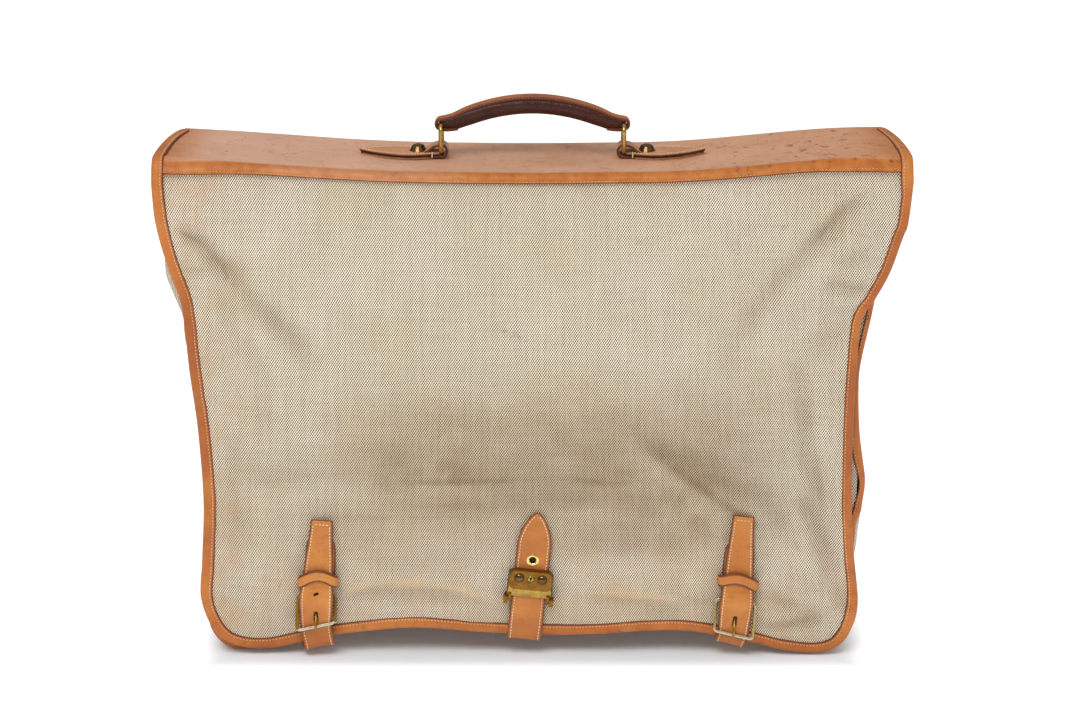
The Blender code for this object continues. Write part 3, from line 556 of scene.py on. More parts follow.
def canvas_material(name, cream, fleck, soil_and_shade=True, frame_coords=False, wide=1.9, tall=2.9):
    k = Mat(name, rough=0.88, spec=0.25, sheen=0.12, frame_coords=frame_coords)
    cl = k.attr("cloth", "Vector")
    # the yarns wander a little
    wob = k.noise(14.0, 2.0, vec=cl)
    wob2 = k.noise(3.2, 1.0, vec=cl)
    u, v, w = k.xyz(cl)
    du = k.math('MULTIPLY', k.math('SUBTRACT', wob, 0.5), 1.3)
    dv = k.math('MULTIPLY', k.math('SUBTRACT', wob2, 0.5), 0.55)
    u = k.math('ADD', u, du)
    v = k.math('ADD', v, dv)
    u2, v2 = k.math('MULTIPLY', u, 2 * math.pi / wide), k.math('MULTIPLY', v, 2 * math.pi / tall)
    p = k.math('ADD', u2, v2)
    q = k.math('SUBTRACT', u2, v2)
    f = k.math('ADD', k.math('MULTIPLY', k.math('COSINE', p), 0.44), k.math('MULTIPLY', k.math('COSINE', q), 0.56))
    # streaks along warp and weft change how strongly the dark yarn shows
    warp = k.noise(1.0, 2.0, vec=k.join3(k.math('MULTIPLY', u, 0.34), k.math('MULTIPLY', v, 0.012)))
    weft = k.noise(1.0, 2.0, vec=k.join3(k.math('MULTIPLY', u, 0.02), k.math('MULTIPLY', v, 0.55), 7.0))
    yarn = k.math('ADD', k.math('MULTIPLY', k.math('SUBTRACT', warp, 0.5), 0.22), k.math('MULTIPLY', k.math('SUBTRACT', weft, 0.5), 0.20))
    g = k.math('ADD', f, yarn)
    dark = k.ramp(g, -0.06, 0.19)
    slub = k.noise(0.9, 1.0, vec=cl)
    broad = k.noise(70.0, 3.0)
    base = k.mix(k.ramp(broad, 0.3, 0.7), srgb(*cream), srgb(cream[0] - 9, cream[1] - 13, cream[2] - 22))
    base = k.mix(k.ramp(slub, 0.25, 0.8, 0.0, 0.55), base, srgb(min(255, cream[0] + 14), min(255, cream[1] + 14), min(255, cream[2] + 14)))
    col = k.mix(k.math('MULTIPLY', dark, 0.96), base, srgb(*fleck))
    # the tone attribute darkens the cloth: on the flap it is painted shade with soil, in the valleys and on the faces
    # that look down
    tn = k.attr("tone")
    col = k.mix(k.math('MULTIPLY', tn, 0.62), col, srgb(190, 174, 148), 'MULTIPLY')
    if soil_and_shade:
        blotch = k.noise(22.0, 4.0, 0.62)
        # marks on the front: a brown bloom in the middle, and to the right a broad patch of painted shade with soil;
        # warm lower edge; grey rubs
        m = k.math('MULTIPLY', k.blob(-70, 158, 120, 20, 3), k.ramp(blotch, 0.34, 0.76))
        col = k.mix(k.math('MULTIPLY', m, 0.5), col, srgb(204, 184, 152), 'MULTIPLY')
        m = k.math('MULTIPLY', k.blob(120, 130, 110, 34, -24), k.ramp(blotch, 0.30, 0.8))
        col = k.mix(k.math('MULTIPLY', m, 0.55), col, srgb(204, 184, 152), 'MULTIPLY')
        x, y, z = k.xyz()
        # darker bands across the lower middle: the upper one is painted shade under the belly, with soil; the lower one
        # darkens z 76 to 146 further
        band = k.math('MULTIPLY', k.math('MULTIPLY', k.ramp(z, 104, 160), k.ramp(z, 262, 195)), k.ramp(blotch, 0.1, 0.75, 0.45, 1.0))
        band = k.math('MULTIPLY', band, k.ramp(k.math('ABSOLUTE', k.math('SUBTRACT', x, 30)), 215, 105, 0.06, 0.75))
        col = k.mix(band, col, srgb(210, 197, 176), 'MULTIPLY')
        band = k.math('MULTIPLY', k.math('MULTIPLY', k.ramp(z, 76, 104), k.ramp(z, 146, 116)), k.ramp(blotch, 0.1, 0.75, 0.5, 1.0))
        band = k.math('MULTIPLY', band, k.ramp(k.math('ABSOLUTE', k.math('SUBTRACT', x, 10)), 220, 140, 0.1, 0.46))
        col = k.mix(band, col, srgb(210, 195, 172), 'MULTIPLY')
        # painted shade along the creases, with soil in them; the last, broad patch darkens low down right of the middle
        for cx, cz, rx, rz, turn, part in ((128, 152, 60, 7.5, -38, 0.50), (168, 122, 30, 7.5, -30, 0.48), (231, 150, 66, 5.5, -81.5, 0.22), (54, 152, 44, 5, -7, 0.36), (-52, 153, 98, 5, 2, 0.34), (-124, 121, 110, 3.0, 0, 0.16),
                                           (78, 99, 84, 30, 0, 0.36)):
            m = k.math('MULTIPLY', k.blob(cx, cz, rx, rz, turn), k.ramp(blotch, 0.2, 0.7, 0.6, 1.0))
            col = k.mix(k.math('MULTIPLY', m, part), col, srgb(168, 142, 106), 'MULTIPLY')
        low = k.math('MULTIPLY', k.ramp(z, 150, 20), k.ramp(blotch, 0.3, 0.75))
        col = k.mix(k.math('MULTIPLY', low, 0.26), col, srgb(196, 142, 92))
        side = k.math('MULTIPLY', k.ramp(x, -205, -262), k.ramp(blotch, 0.35, 0.7))
        col = k.mix(k.math('MULTIPLY', side, 0.32), col, srgb(190, 142, 96))
        head = k.math('MULTIPLY', k.ramp(z, 384, 400), k.ramp(blotch, 0.3, 0.7))
        col = k.mix(k.math('MULTIPLY', head, 0.16), col, srgb(178, 128, 84))
        rub = k.math('MULTIPLY', k.blob(-18, 279, 24, 5.5, -28), k.ramp(k.noise(3.0, 3.0), 0.42, 0.62))
        col = k.mix(k.math('MULTIPLY', rub, 0.5), col, srgb(120, 112, 100))
        grey = k.ramp(k.noise(5.0, 3.0), 0.36, 0.62)
        for cx, cz, rx, rz, turn, part in ((160, 342, 6, 18, 8, 0.30), (196, 364, 10, 4.5, 0, 0.26), (228, 358, 4.5, 13, -32, 0.34), (-240, 322, 5, 15, 38, 0.34),
                                           (84, 352, 13, 4, 12, 0.18), (170, 322, 18, 7, -20, 0.16), (-120, 244, 10, 5, 20, 0.14)):
            m = k.math('MULTIPLY', k.blob(cx, cz, rx, rz, turn), grey)
            col = k.mix(k.math('MULTIPLY', m, part), col, srgb(96, 88, 76))
        spots = k.ramp(k.noise(7.0, 3.0, 0.7), 0.70, 0.78)
        col = k.mix(k.math('MULTIPLY', spots, 0.22), col, srgb(140, 98, 60))
        for cx, cz, rx, rz, turn in ((-144, 60, 24, 6.4, 22), (-104, 65, 42, 7.0, 0), (-54, 57, 38, 7.0, -17), (92, 53, 58, 6.4, -6)):
            m = k.math('MULTIPLY', k.blob(cx, cz, rx, rz, turn), k.ramp(blotch, 0.2, 0.6, 0.35, 1.0))
            col = k.mix(k.math('MULTIPLY', m, 0.40), col, srgb(226, 188, 144))
        # small brown marks; the two long thin strokes at z 128 to 132 lie in a faint crease as painted shade
        for cx, cz, rx, rz, turn in ((-148, 92, 3.2, 2.0, 10), (-206, 62, 1.8, 9, -20), (214, 96, 2.6, 10, 24), (190, 88, 4, 1.6, 0), (-58, 132, 26, 2.2, 3), (70, 128, 30, 2.0, -2)):
            m = k.math('MULTIPLY', k.blob(cx, cz, rx, rz, turn), k.ramp(k.noise(4.0, 3.0), 0.3, 0.6))
            col = k.mix(k.math('MULTIPLY', m, 0.42), col, srgb(168, 108, 62))
    k.color(col)
    h = k.math('ADD', k.math('MULTIPLY', f, 0.5), k.math('MULTIPLY', slub, 0.5))
    k.bump(h, 0.30, 0.55)
    return k.m


def lining_material(name, a, b, frame_coords=False):
    k = Mat(name, rough=0.92, spec=0.2, sheen=0.2, frame_coords=frame_coords)
    cl = k.rest
    x, y, z = k.xyz(cl)
    s = k.math('ADD', x, k.math('MULTIPLY', y, 0.83))
    warp = k.math('SINE', k.math('MULTIPLY', s, 2 * math.pi / 0.9))
    weft = k.math('SINE', k.math('MULTIPLY', z, 2 * math.pi / 0.9))
    f = k.math('MULTIPLY', warp, weft)
    n = k.noise(18.0, 4.0)
    col = k.mix(k.ramp(n, 0.3, 0.7), srgb(*a), srgb(*b))
    col = k.mix(k.ramp(f, 0.2, 0.9, 0.0, 0.25), col, srgb(a[0] * 0.6, a[1] * 0.6, a[2] * 0.6))
    k.color(col)
    k.bump(f, 0.12, 0.5)
    return k.m


def leather_material(name, light, mid, deep, cut=(100, 45, 25), rough=0.5, coat=0.06, grain=0.10, marks=0.5, frame_coords=False, top=False, wrinkle=0.5, spec=0.36):
    k = Mat(name, rough=rough, spec=spec, coat=coat, frame_coords=frame_coords)
    broad = k.noise(46.0, 4.0, 0.6)
    fine = k.noise(9.0, 4.0, 0.6)
    col = k.mix(k.ramp(broad, 0.32, 0.68), srgb(*light), srgb(*mid))
    col = k.mix(k.ramp(fine, 0.52, 0.80, 0.0, 0.65), col, srgb(*deep))
    pores = k.noise(1.1, 2.0, 0.5)
    col = k.mix(k.ramp(pores, 0.56, 0.75, 0.0, 0.28), col, srgb(*deep))
    # fine creases and dark rubs
    crease = k.ramp(k.math('ABSOLUTE', k.math('SUBTRACT', k.noise(11.0, 3.0, 0.6, stretch=(0.5, 1.6, 1.6)), 0.5)), 0.012, 0.0)
    col = k.mix(k.math('MULTIPLY', crease, 0.30 * wrinkle), col, srgb(*cut))
    smear = k.ramp(k.noise(16.0, 5.0, 0.68), 0.62, 0.74)
    col = k.mix(k.math('MULTIPLY', smear, 0.34 * marks), col, srgb(*cut))
    if top:
        x, y, z = k.xyz()
        # paler, pinker upper face, worn flat and with painted sheen in its colour, paler still to the left as a painted
        # highlight; orange where it turns down; soiling near the back and dark freckles to the right
        front = k.math('MULTIPLY', k.ramp(y, -41.5, -47.2), k.ramp(k.math('ABSOLUTE', k.math('ADD', x, 128)), 40, 100, 0.74, 1.0))
        col = k.mix(k.ramp(x, 40, -220, 0.0, 0.55), col, srgb(216, 172, 148))
        col = k.mix(k.ramp(x, 150, 260, 0.0, 0.40), col, srgb(202, 138, 92))
        ends = k.ramp(k.math('ABSOLUTE', x), 252, 286)
        col = k.mix(k.math('MULTIPLY', k.math('MAXIMUM', front, k.math('MULTIPLY', ends, 0.7)), 0.96), col, k.mix(k.ramp(fine, 0.3, 0.7), srgb(190, 112, 38), srgb(172, 92, 26)))
        grime = k.math('MULTIPLY', k.math('MULTIPLY', k.ramp(y, 8, 48), k.ramp(k.math('ABSOLUTE', k.math('SUBTRACT', x, 10)), 90, 20)), k.ramp(k.noise(20.0, 4.0), 0.30, 0.65))
        grime = k.math('MULTIPLY', grime, k.ramp(z, 396, 405, 0.25, 1.0))
        col = k.mix(k.math('MULTIPLY', grime, 0.22), col, srgb(128, 86, 66))
        spots = k.math('MULTIPLY', k.ramp(k.noise(7.5, 1.0, 0.5, stretch=(1.0, 0.8, 1.0)), 0.66, 0.71), k.math('MULTIPLY', k.ramp(x, 85, 180), k.ramp(z, 392, 408, 0.25, 1.0)))
        col = k.mix(k.math('MULTIPLY', spots, 0.6), col, srgb(118, 62, 44))
        scar = k.ramp(k.math('ABSOLUTE', k.math('SUBTRACT', k.noise(30.0, 3.0, 0.6), 0.52)), 0.009, 0.0)
        patch = k.ramp(k.noise(40.0, 2.0), 0.40, 0.56)
        col = k.mix(k.math('MULTIPLY', k.math('MULTIPLY', scar, patch), 0.42), col, srgb(116, 60, 38))
    e = k.attr("edge")
    er = k.math('ADD', e, k.math('MULTIPLY', k.math('SUBTRACT', fine, 0.5), 0.35))
    col = k.mix(k.math('MULTIPLY', k.ramp(er, 0.25, 0.85), 0.93), col, srgb(*cut))
    tn = k.attr("tone")
    # tone above zero darkens towards deep, below zero it lightens; on the straps and the binding it carries painted
    # shade and painted highlights as well as wear
    col = k.mix(k.ramp(tn, 0.0, 1.0, 0.0, 0.6), col, srgb(*deep))
    col = k.mix(k.ramp(tn, 0.0, -1.0, 0.0, 0.5), col, srgb(min(255, light[0] + 18), min(255, light[1] + 20), min(255, light[2] + 20)))
    k.color(col)
    k.rough(k.ramp(k.math('ADD', k.math('MULTIPLY', fine, 0.6), k.math('MULTIPLY', pores, 0.4)), 0.3, 0.7, rough - 0.09, rough + 0.12))
    cell = k.cells(1.5)
    h = k.math('ADD', k.math('MULTIPLY', cell, 0.6), k.math('ADD', k.math('MULTIPLY', pores, 0.5), k.math('MULTIPLY', crease, -0.9 * wrinkle)))
    k.bump(h, grain, 0.6)
    return k.m


def brass_material(name, a, b, dull, rough=0.26, frame_coords=False, stain=0.5, pits=0.35):
    k = Mat(name, rough=rough, metal=1.0, frame_coords=frame_coords)
    n1 = k.noise(6.0, 4.0, 0.62)
    n2 = k.noise(1.4, 3.0, 0.6)
    col = k.mix(k.ramp(n1, 0.3, 0.7), srgb(*a), srgb(*b))
    tar = k.ramp(k.math('ADD', k.math('MULTIPLY', n1, 0.6), k.math('MULTIPLY', n2, 0.4)), 0.48, 0.68)
    col = k.mix(k.math('MULTIPLY', tar, stain), col, srgb(*dull))
    e = k.attr("edge")
    col = k.mix(k.ramp(e, 0.0, 1.0, 0.0, 0.9), col, srgb(*dull))
    k.color(col)
    k.rough(k.ramp(n2, 0.3, 0.7, rough - 0.06, rough + 0.14))
    scr = k.noise(1.0, 3.0, 0.6, stretch=(0.35, 3.0, 3.0))
    k.bump(k.math('ADD', k.math('MULTIPLY', n2, 0.5), k.math('MULTIPLY', scr, 0.5)), 0.03, pits)
    return k.m


def thread_material(name, a, b, c):
    k = Mat(name, rough=0.8, spec=0.3, sheen=0.2)
    n = k.noise(30.0, 3.0)
    f = k.noise(0.8, 2.0)
    col = k.mix(k.ramp(n, 0.35, 0.7), srgb(*a), srgb(*b))
    col = k.mix(k.ramp(f, 0.5, 0.8, 0.0, 0.5), col, srgb(*c))
    k.color(col)
    k.bump(f, 0.1, 0.5)
    return k.m


CANVAS = canvas_material("woven_canvas", (248, 232, 210), (36, 32, 26))
CANVAS_BODY = canvas_material("woven_canvas_body", (248, 230, 208), (36, 32, 26), soil_and_shade=False)
LINING = lining_material("lining_twill", (174, 148, 110), (166, 140, 103))
LINING_CAD = lining_material("lining_twill_boards", (174, 148, 110), (166, 140, 103), frame_coords=True)
TAN = leather_material("tan_leather", (206, 134, 70), (194, 120, 58), (168, 92, 42))
BIND = leather_material("binding_leather", (198, 119, 51), (181, 99, 37), (147, 71, 26), marks=0.8, wrinkle=0.8)
STRAP = leather_material("strap_leather", (204, 130, 57), (189, 112, 44), (162, 86, 34), marks=0.45, wrinkle=0.7, rough=0.46, coat=0.1)
# the top leather's pale, pinkish colours carry painted sheen besides its own colour
TOP = leather_material("top_leather", (216, 166, 133), (207, 153, 117), (180, 119, 83), rough=0.46, coat=0.04, spec=0.24, marks=0.5, top=True, grain=0.08)
BACKHIDE = leather_material("base_leather", (150, 104, 68), (134, 90, 58), (108, 70, 46), marks=0.7)
DARK = leather_material("grip_leather", (70, 31, 18), (53, 23, 13), (33, 15, 10), cut=(104, 52, 30), rough=0.36, coat=0.0, spec=0.26, grain=0.46, marks=0.4, wrinkle=1.0)
HANDLE = leather_material("handle_leather", (176, 104, 56), (158, 86, 44), (126, 62, 32), cut=(84, 38, 22), marks=0.6, wrinkle=0.8, rough=0.48, coat=0.0, spec=0.26)
LUG = leather_material("lug_leather", (208, 150, 106), (196, 134, 90), (166, 101, 62), cut=(80, 34, 21), marks=0.6)
FLESH = leather_material("leather_flesh_side", (178, 128, 84), (164, 112, 70), (142, 92, 56), rough=0.8, coat=0.0, marks=0.3)
BRASS = brass_material("worn_brass", (192, 160, 90), (168, 134, 68), (100, 76, 42), stain=0.35, pits=0.12)
BRASS_LOCK = brass_material("lock_brass", (196, 162, 84), (174, 138, 66), (120, 88, 42), rough=0.32, stain=0.3, pits=0.15)
BRASS_FACE = brass_material("lock_face_brass", (144, 103, 44), (124, 85, 34), (88, 57, 25), rough=0.34, stain=0.4, pits=0.15)
BRASS_BRIGHT = brass_material("bright_brass", (246, 222, 150), (228, 196, 112), (160, 124, 62), rough=0.2, stain=0.25)
BRASS_DOME = brass_material("domed_brass", (116, 89, 58), (98, 73, 46), (64, 44, 28), rough=0.16, stain=0.35, pits=0.1)
BRASS_BUCKLE = brass_material("buckle_brass", (172, 130, 56), (160, 118, 48), (128, 92, 36), rough=0.36, stain=0.08, pits=0.02)
BRASS_PALE = brass_material("pale_brass", (218, 194, 134), (206, 180, 118), (160, 130, 78), rough=0.3, stain=0.08, pits=0.02)
BRASS_WORN = brass_material("rubbed_brass", (214, 206, 186), (204, 194, 170), (170, 152, 118), rough=0.36, stain=0.1, pits=0.02)
BRASS_CAD = brass_material("pin_brass", (170, 132, 56), (150, 114, 48), (92, 68, 32), frame_coords=True)
CORD_CAD = lining_material("cord_core", (200, 178, 140), (182, 158, 120), frame_coords=True)
THREAD = thread_material("linen_thread", (240, 224, 192), (222, 196, 154), (190, 152, 108))
THREAD_DARK = thread_material("grip_thread", (170, 116, 78), (140, 86, 56), (96, 54, 36))
THREAD_HEAD = thread_material("header_thread", (214, 166, 112), (190, 134, 80), (150, 92, 46))
THREAD_OLD = thread_material("waxed_thread", (226, 196, 150), (206, 166, 116), (150, 98, 56))
# painted shade: near-black for the dark inside the keyhole and the eyelet
HOLE_SHADE = Mat("keyhole_dark", rough=0.7)
HOLE_SHADE.color(HOLE_SHADE.mix(HOLE_SHADE.ramp(HOLE_SHADE.noise(1.0, 2.0), 0.3, 0.7), srgb(14, 11, 8), srgb(26, 20, 14)))
HOLE_SHADE = HOLE_SHADE.m

# ---------------------------------------------------------------- driving shapes, as in the model
FLAP_Y = -57.0
STRAPS = {"left": (-176.2, 52.5, 1.9, 5.6), "right": (166.0, 48.5, 4.6, 6.8)}
LOCK = (-2.0, 65.5, 6.0, 14.0)
FLAP_HINGE = np.array([0.0, -53.0, 407.0])
TOP_HINGE = np.array([0.0, 49.0, 407.0])
HANDLE_X, HANDLE_Y = 72.5, -1.0
FLAP_OUTLINE = [(-292, 404), (-295.5, 393), (-295, 373), (-291, 350), (-284, 324), (-276, 297), (-272, 246),
                (-267, 195), (-265, 135), (-268, 83), (-270, 48), (-259, 20), (-240, 8), (-215, 6.4), (-186, 13.0),
                (-157, 19.0), (-130, 22.5), (-107, 25), (-80, 24.6), (-51, 21.6), (-22, 19.6), (17, 18.2), (55, 19.6), (95, 22.2),
                (129, 21.8), (160, 15.5), (186, 10), (205, 5.2), (232, 2.6), (250, 8), (260, 22), (265, 46),
                (260, 92), (257, 135), (256, 195), (257, 246), (260, 286), (268, 301), (280, 324),
                (288, 349), (295, 373), (295, 393), (292.5, 404)]
BODY_LEFT = [(30, 266.5), (50, 267), (90, 266), (135, 263), (195, 266), (250, 273), (300, 284), (330, 289), (394, 281)]
BODY_RIGHT = [(30, 264), (50, 264.5), (90, 265), (150, 267.5), (195, 262.5), (240, 261.5), (290, 270), (345, 278), (394, 281)]


def z_cad(x):
    return 406.0 + 11.0 * (np.asarray(x, float) / 280.0) ** 2


def z_top(x):
    """The leather's own line: it sags in the middle and flattens towards the ends, more so to the right."""
    x = np.asarray(x, float)
    own = 406.0 + 1.0 * sstep(0, 120, np.abs(x)) + 12.6 * sstep(90, 275, np.abs(x))
    return z_cad(x) + (own - z_cad(x)) * np.where(x > 0, 0.9, 0.35)


def world(p):
    return ((p[0]) * MM, (p[1] + Y0) * MM, p[2] * MM)


# ---------------------------------------------------------------- the flap's soft surface
# (x0, z0, x1, z1, height outward, half width): folds seen in the hanging canvas
FOLDS = [(-274, 359, -243, 328, -5.4, 4.6), (-252, 336, -222, 302, -3.4, 7), (-264, 369, -230, 336, 3.0, 7), (-262, 350, -250, 318, 2.2, 6), (-230, 310, -170, 246, -3.0, 10), (-212, 312, -150, 256, 1.6, 14),
         (-268, 326, -226, 322, -2.0, 5), (-262, 312, -222, 306, 1.4, 6), (-258, 300, -228, 240, 2.2, 9), (-244, 296, -214, 236, -1.6, 9), (-228, 240, -226, 160, 1.6, 10),
         (254, 386, 226, 352, -3.4, 5.6), (232, 360, 170, 288, -3.0, 9), (176, 296, 150, 244, -2.6, 13), (250, 352, 196, 292, 1.8, 11), (262, 368, 240, 338, 3.0, 6.5), (238, 384, 214, 356, 1.8, 7), (270, 362, 256, 346, 1.6, 4), (232, 314, 262, 311, -2.8, 3.8), (228, 304, 258, 304, 1.2, 5), (262, 300, 214, 250, -1.8, 12),
         (210, 250, 216, 200, -2.4, 8), (216, 205, 230, 120, -2.8, 7), (219, 132, 242, 74, -4.0, 5.6), (240, 80, 254, 38, -2.6, 5), (212, 112, 234, 58, 2.0, 8), (186, 27, 222, 37, 2.4, 3.6), (198, 21, 234, 30, -1.8, 3.6), (104, 64, 148, 49, 2.6, 4), (110, 56, 150, 43, -2.0, 4), (232, 236, 244, 120, 2.0, 9), (240, 130, 254, 80, 1.8, 8),
         (88, 186, 200, 114, -4.4, 12), (60, 232, 176, 168, 2.2, 26), (196, 118, 226, 96, -1.4, 9),
         (-241, 186, -242, 80, -1.8, 6), (-159, 53, -129, 65, 2.8, 4.6), (-132, 65, -78, 64.5, 3.0, 5.0), (-80, 64.5, -29, 49, 2.4, 5.0), (-140, 51, -60, 50, -1.2, 6), (47, 57, 137, 48, 2.7, 5), (-146, 80, -40, 84, -1.2, 9), (196, 62, 236, 40, 1.6, 6), (192, 50, 226, 28, -1.2, 5),
         (-120, 128, 100, 130, -1.2, 7), (-225, 150, -100, 160, -1.6, 16), (-60, 300, 40, 220, 0.8, 30), (-225, 58, -196, 40, 1.2, 6)]


def flap_d(x, z):
    """How far the hanging canvas stands out from its flat plane: a belly above the straps, folds from the corners."""
    x, z = np.asarray(x, float), np.asarray(z, float)
    belly = np.interp(z, [0, 20, 38, 60, 88, 112, 134, 160, 186, 214, 262, 330, 404], [0.0, 0.08, 0.22, 0.30, 0.10, 0.03, 0.18, 0.56, 0.86, 1.0, 0.86, 0.46, 0.0])
    d = 10.5 * belly * (1 - np.clip(np.abs(x + 6) / 288, 0, 1) ** 2.2)
    for x0, z0, x1, z1, amp, w in FOLDS:
        ax, az = x1 - x0, z1 - z0
        L = math.hypot(ax, az)
        t = ((x - x0) * ax + (z - z0) * az) / (L * L)
        off = ((x - x0) * -az + (z - z0) * ax) / L
        off = off + 2.2 * vnoise(t * 2.7 + x0, 0.0 * t + z0, 3)
        wide = w * (0.75 + 0.55 * np.clip(t, 0, 1))
        d = d + amp * np.exp(-(off / wide) ** 2) * sstep(-0.18, 0.18, t) * sstep(1.22, 0.74, t)
    d = d + 0.8 * vnoise(x / 52, z / 40, 11) + 0.45 * vnoise(x / 19, z / 23, 12) + 0.12 * vnoise(x / 6, z / 7, 13)
    calm = np.ones_like(d)
    for px, pz, wide, hi in ((-176, 52, 25, 122), (166.5, 48, 25, 124), (-1, 60, 27, 126)):
        calm = calm * (1 - np.exp(-((x - px) / wide) ** 4) * sstep(hi + 24, hi - 8, z))
    top = sstep(409, 374, z)
    return np.clip(d * calm * top, -5.2, 12.5)


def blur(a, k):
    """Plain running mean over a grid, three times over."""
    for _ in range(3):
        for ax in (0, 1):
            pad = [(0, 0), (0, 0)]
            pad[ax] = (k, k)
            c = np.cumsum(np.pad(a, pad, mode="edge"), axis=ax)
            c = np.concatenate([np.zeros_like(np.take(c, [0], ax)), c], ax)
            n = a.shape[ax]
            a = (np.take(c, np.arange(2 * k + 1, 2 * k + 1 + n), ax) - np.take(c, np.arange(n), ax)) / (2 * k + 1)
    return a


def coons(T, B, L, R):
    s = np.linspace(0, 1, len(T))[:, None, None]
    t = np.linspace(0, 1, len(L))[None, :, None]
    return ((1 - t) * T[:, None] + t * B[:, None] + (1 - s) * L[None] + s * R[None]
            - ((1 - s) * (1 - t) * T[0] + s * (1 - t) * T[-1] + (1 - s) * t * B[0] + s * t * B[-1]))


def header_low(x):
    return z_top(x) - (7.6 + 3.6 * sstep(205, 285, np.abs(x))) - 0.35 * vnoise(np.asarray(x, float) / 60, 0.0, 21)


OUT = spline(FLAP_OUTLINE, 900)


def inset(path, d):
    t = tangents(path)
    return np.c_[path[:, 0] - t[:, 1] * d, path[:, 1] + t[:, 0] * d]


edge_line = inset(OUT, 1.0)
i_l = int(np.argmax(-edge_line[:, 0] * 0.8 - edge_line[:, 1]))
i_r = int(np.argmax(edge_line[:, 0] * 0.8 - edge_line[:, 1]))
NU, NV = 331, 241
xs = np.linspace(edge_line[0, 0], edge_line[-1, 0], 200)
top_line = np.c_[xs, np.minimum(header_low(xs) + 2.8, 404.2 + (header_low(xs) + 2.8 - 404.2) * sstep(0, 10, 292 - np.abs(xs)))]
top_line[0], top_line[-1] = edge_line[0], edge_line[-1]
XZ = coons(even(top_line, NU), even(edge_line[i_l:i_r + 1], NU), even(edge_line[:i_l + 1], NV), even(edge_line[i_r:][::-1], NV))
X, Z = XZ[..., 0], XZ[..., 1]
D = flap_d(X, Z)
# painted shade with some soil: darker in the valleys and on the faces that look down
soil_and_shade = np.clip((blur(D, 6) - D) / 1.3, 0, 1) * 0.55 + np.clip(np.gradient(D, axis=1) / np.gradient(Z, axis=1) / 0.26, 0, 1) * 0.6
soil_and_shade = np.clip(blur(soil_and_shade, 2), 0, 1)
flap_cloth = shell("flap_cloth", np.stack([X, FLAP_Y - D, Z], -1), 1.3, CANVAS, cloth=np.stack([X, Z], -1), out=(0, -1, 0), tone=soil_and_shade)
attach(flap_cloth, "flap")
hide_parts("flap_canvas")
Pl = np.stack([X, FLAP_Y - D + 1.9 + 0.25 * vnoise(X / 30, Z / 30, 31), Z], -1)[::3, ::3]
flap_inner = shell("flap_inner_lining", Pl, 0.7, LINING, cloth=np.stack([X, Z], -1)[::3, ::3], out=(0, -1, 0))
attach(flap_inner, "flap")
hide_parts("flap_lining")


# ---------------------------------------------------------------- leather top, in a front and a back piece
def top_x(y):
    """Half width of the top at depth y."""
    y = np.asarray(y, float)
    return np.interp(y, [-60, -30, -8, 12, 30, 41, 48, 60], [295.2, 294.6, 293.4, 291.6, 288.6, 285.6, 282.5, 279.5])


def roll_r(x):
    return 6.0 + 9.0 * sstep(215, 285, np.abs(x))


def top_front(x_share, v):
    """Point on the leather's outer face: v 0 at the middle of the top, 1 at its lower front edge; also its distance to that edge."""
    a = 0.52
    x = x_share * 294.0
    R, zt, low = roll_r(x), z_top(x), header_low(x)
    h = zt - low
    phi = np.arccos(np.clip(1 - h / R, 0, 1))
    drop = np.maximum(h - R, 0)
    y_b = -59.4 + R * np.sin(phi)
    run = R * phi + drop
    q = np.clip((v - a) / (1 - a), 0, 1) * run
    ang = np.minimum(q / R, phi)
    y = np.where(v < a, (v / a) * y_b, y_b - R * np.sin(ang))
    z = zt - R * (1 - np.cos(ang)) - np.maximum(q - R * phi, 0)
    dent = 0.6 * vnoise(x / 70, y / 34, 41) + 0.3 * vnoise(x / 24, y / 18, 42) + 0.10 * vnoise(x / 9, y / 9, 43)
    z = z + dent * sstep(0.60, 0.42, v)
    y = y + 0.4 * vnoise(x / 40, z / 9, 44) * sstep(0.8, 1.0, v) - 1.3 * sstep(0.75, 1.0, v) * (sstep(60, 170, x) + 0.7 * sstep(-150, -230, x)) * sstep(291, 276, np.abs(x))
    return x, y, z, run - q


vv = np.unique(np.r_[np.linspace(0, 0.52, 30), np.linspace(0.52, 1.0, 34), 0.955, 0.972, 0.987, 0.996])
uu = np.linspace(-1, 1, 281)
U, Vv = np.meshgrid(uu, vv, indexing="ij")
tx, ty, tz, to_edge = top_front(U, Vv)
tx = U * top_x(ty)
# dark last millimetre above the lower cut edge: the cut edge's own colour, with painted shade on the rim that faces
# down
te = np.where(Vv > 0.5, sstep(1.0, 0.45, to_edge), 0.0)
lid_front = shell("lid_front_leather", np.stack([tx, ty, tz], -1), 2.0, [TOP, FLESH], edge=te, out=(0, -0.5, 1), inner=1)
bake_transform(lid_front)
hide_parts("front_fold", "flap_header")


def top_back(x_share, v):
    a, b = 0.45, 0.68
    x = x_share * 290.0
    R = 6.0
    zt = z_top(x)
    ang = np.clip((v - a) / (b - a), 0, 1) * math.pi / 2
    y = np.where(v < a, (v / a) * 48.3, 48.3 + R * np.sin(ang))
    z = zt - R * (1 - np.cos(ang))
    low = 371.5 + 0.6 * vnoise(x / 50, 0.0 * x, 51)
    z = np.where(v > b, (zt - R) + (low - (zt - R)) * (v - b) / (1 - b), z)
    dent = 0.55 * vnoise(x / 70, y / 34, 41) + 0.25 * vnoise(x / 24, y / 18, 42) + 0.10 * vnoise(x / 9, y / 9, 43)
    z = z + dent * sstep(0.52, 0.36, v)
    y = y + (0.9 * vnoise(x / 55, z / 20, 52)) * sstep(0.62, 0.8, v)
    return x, y, z


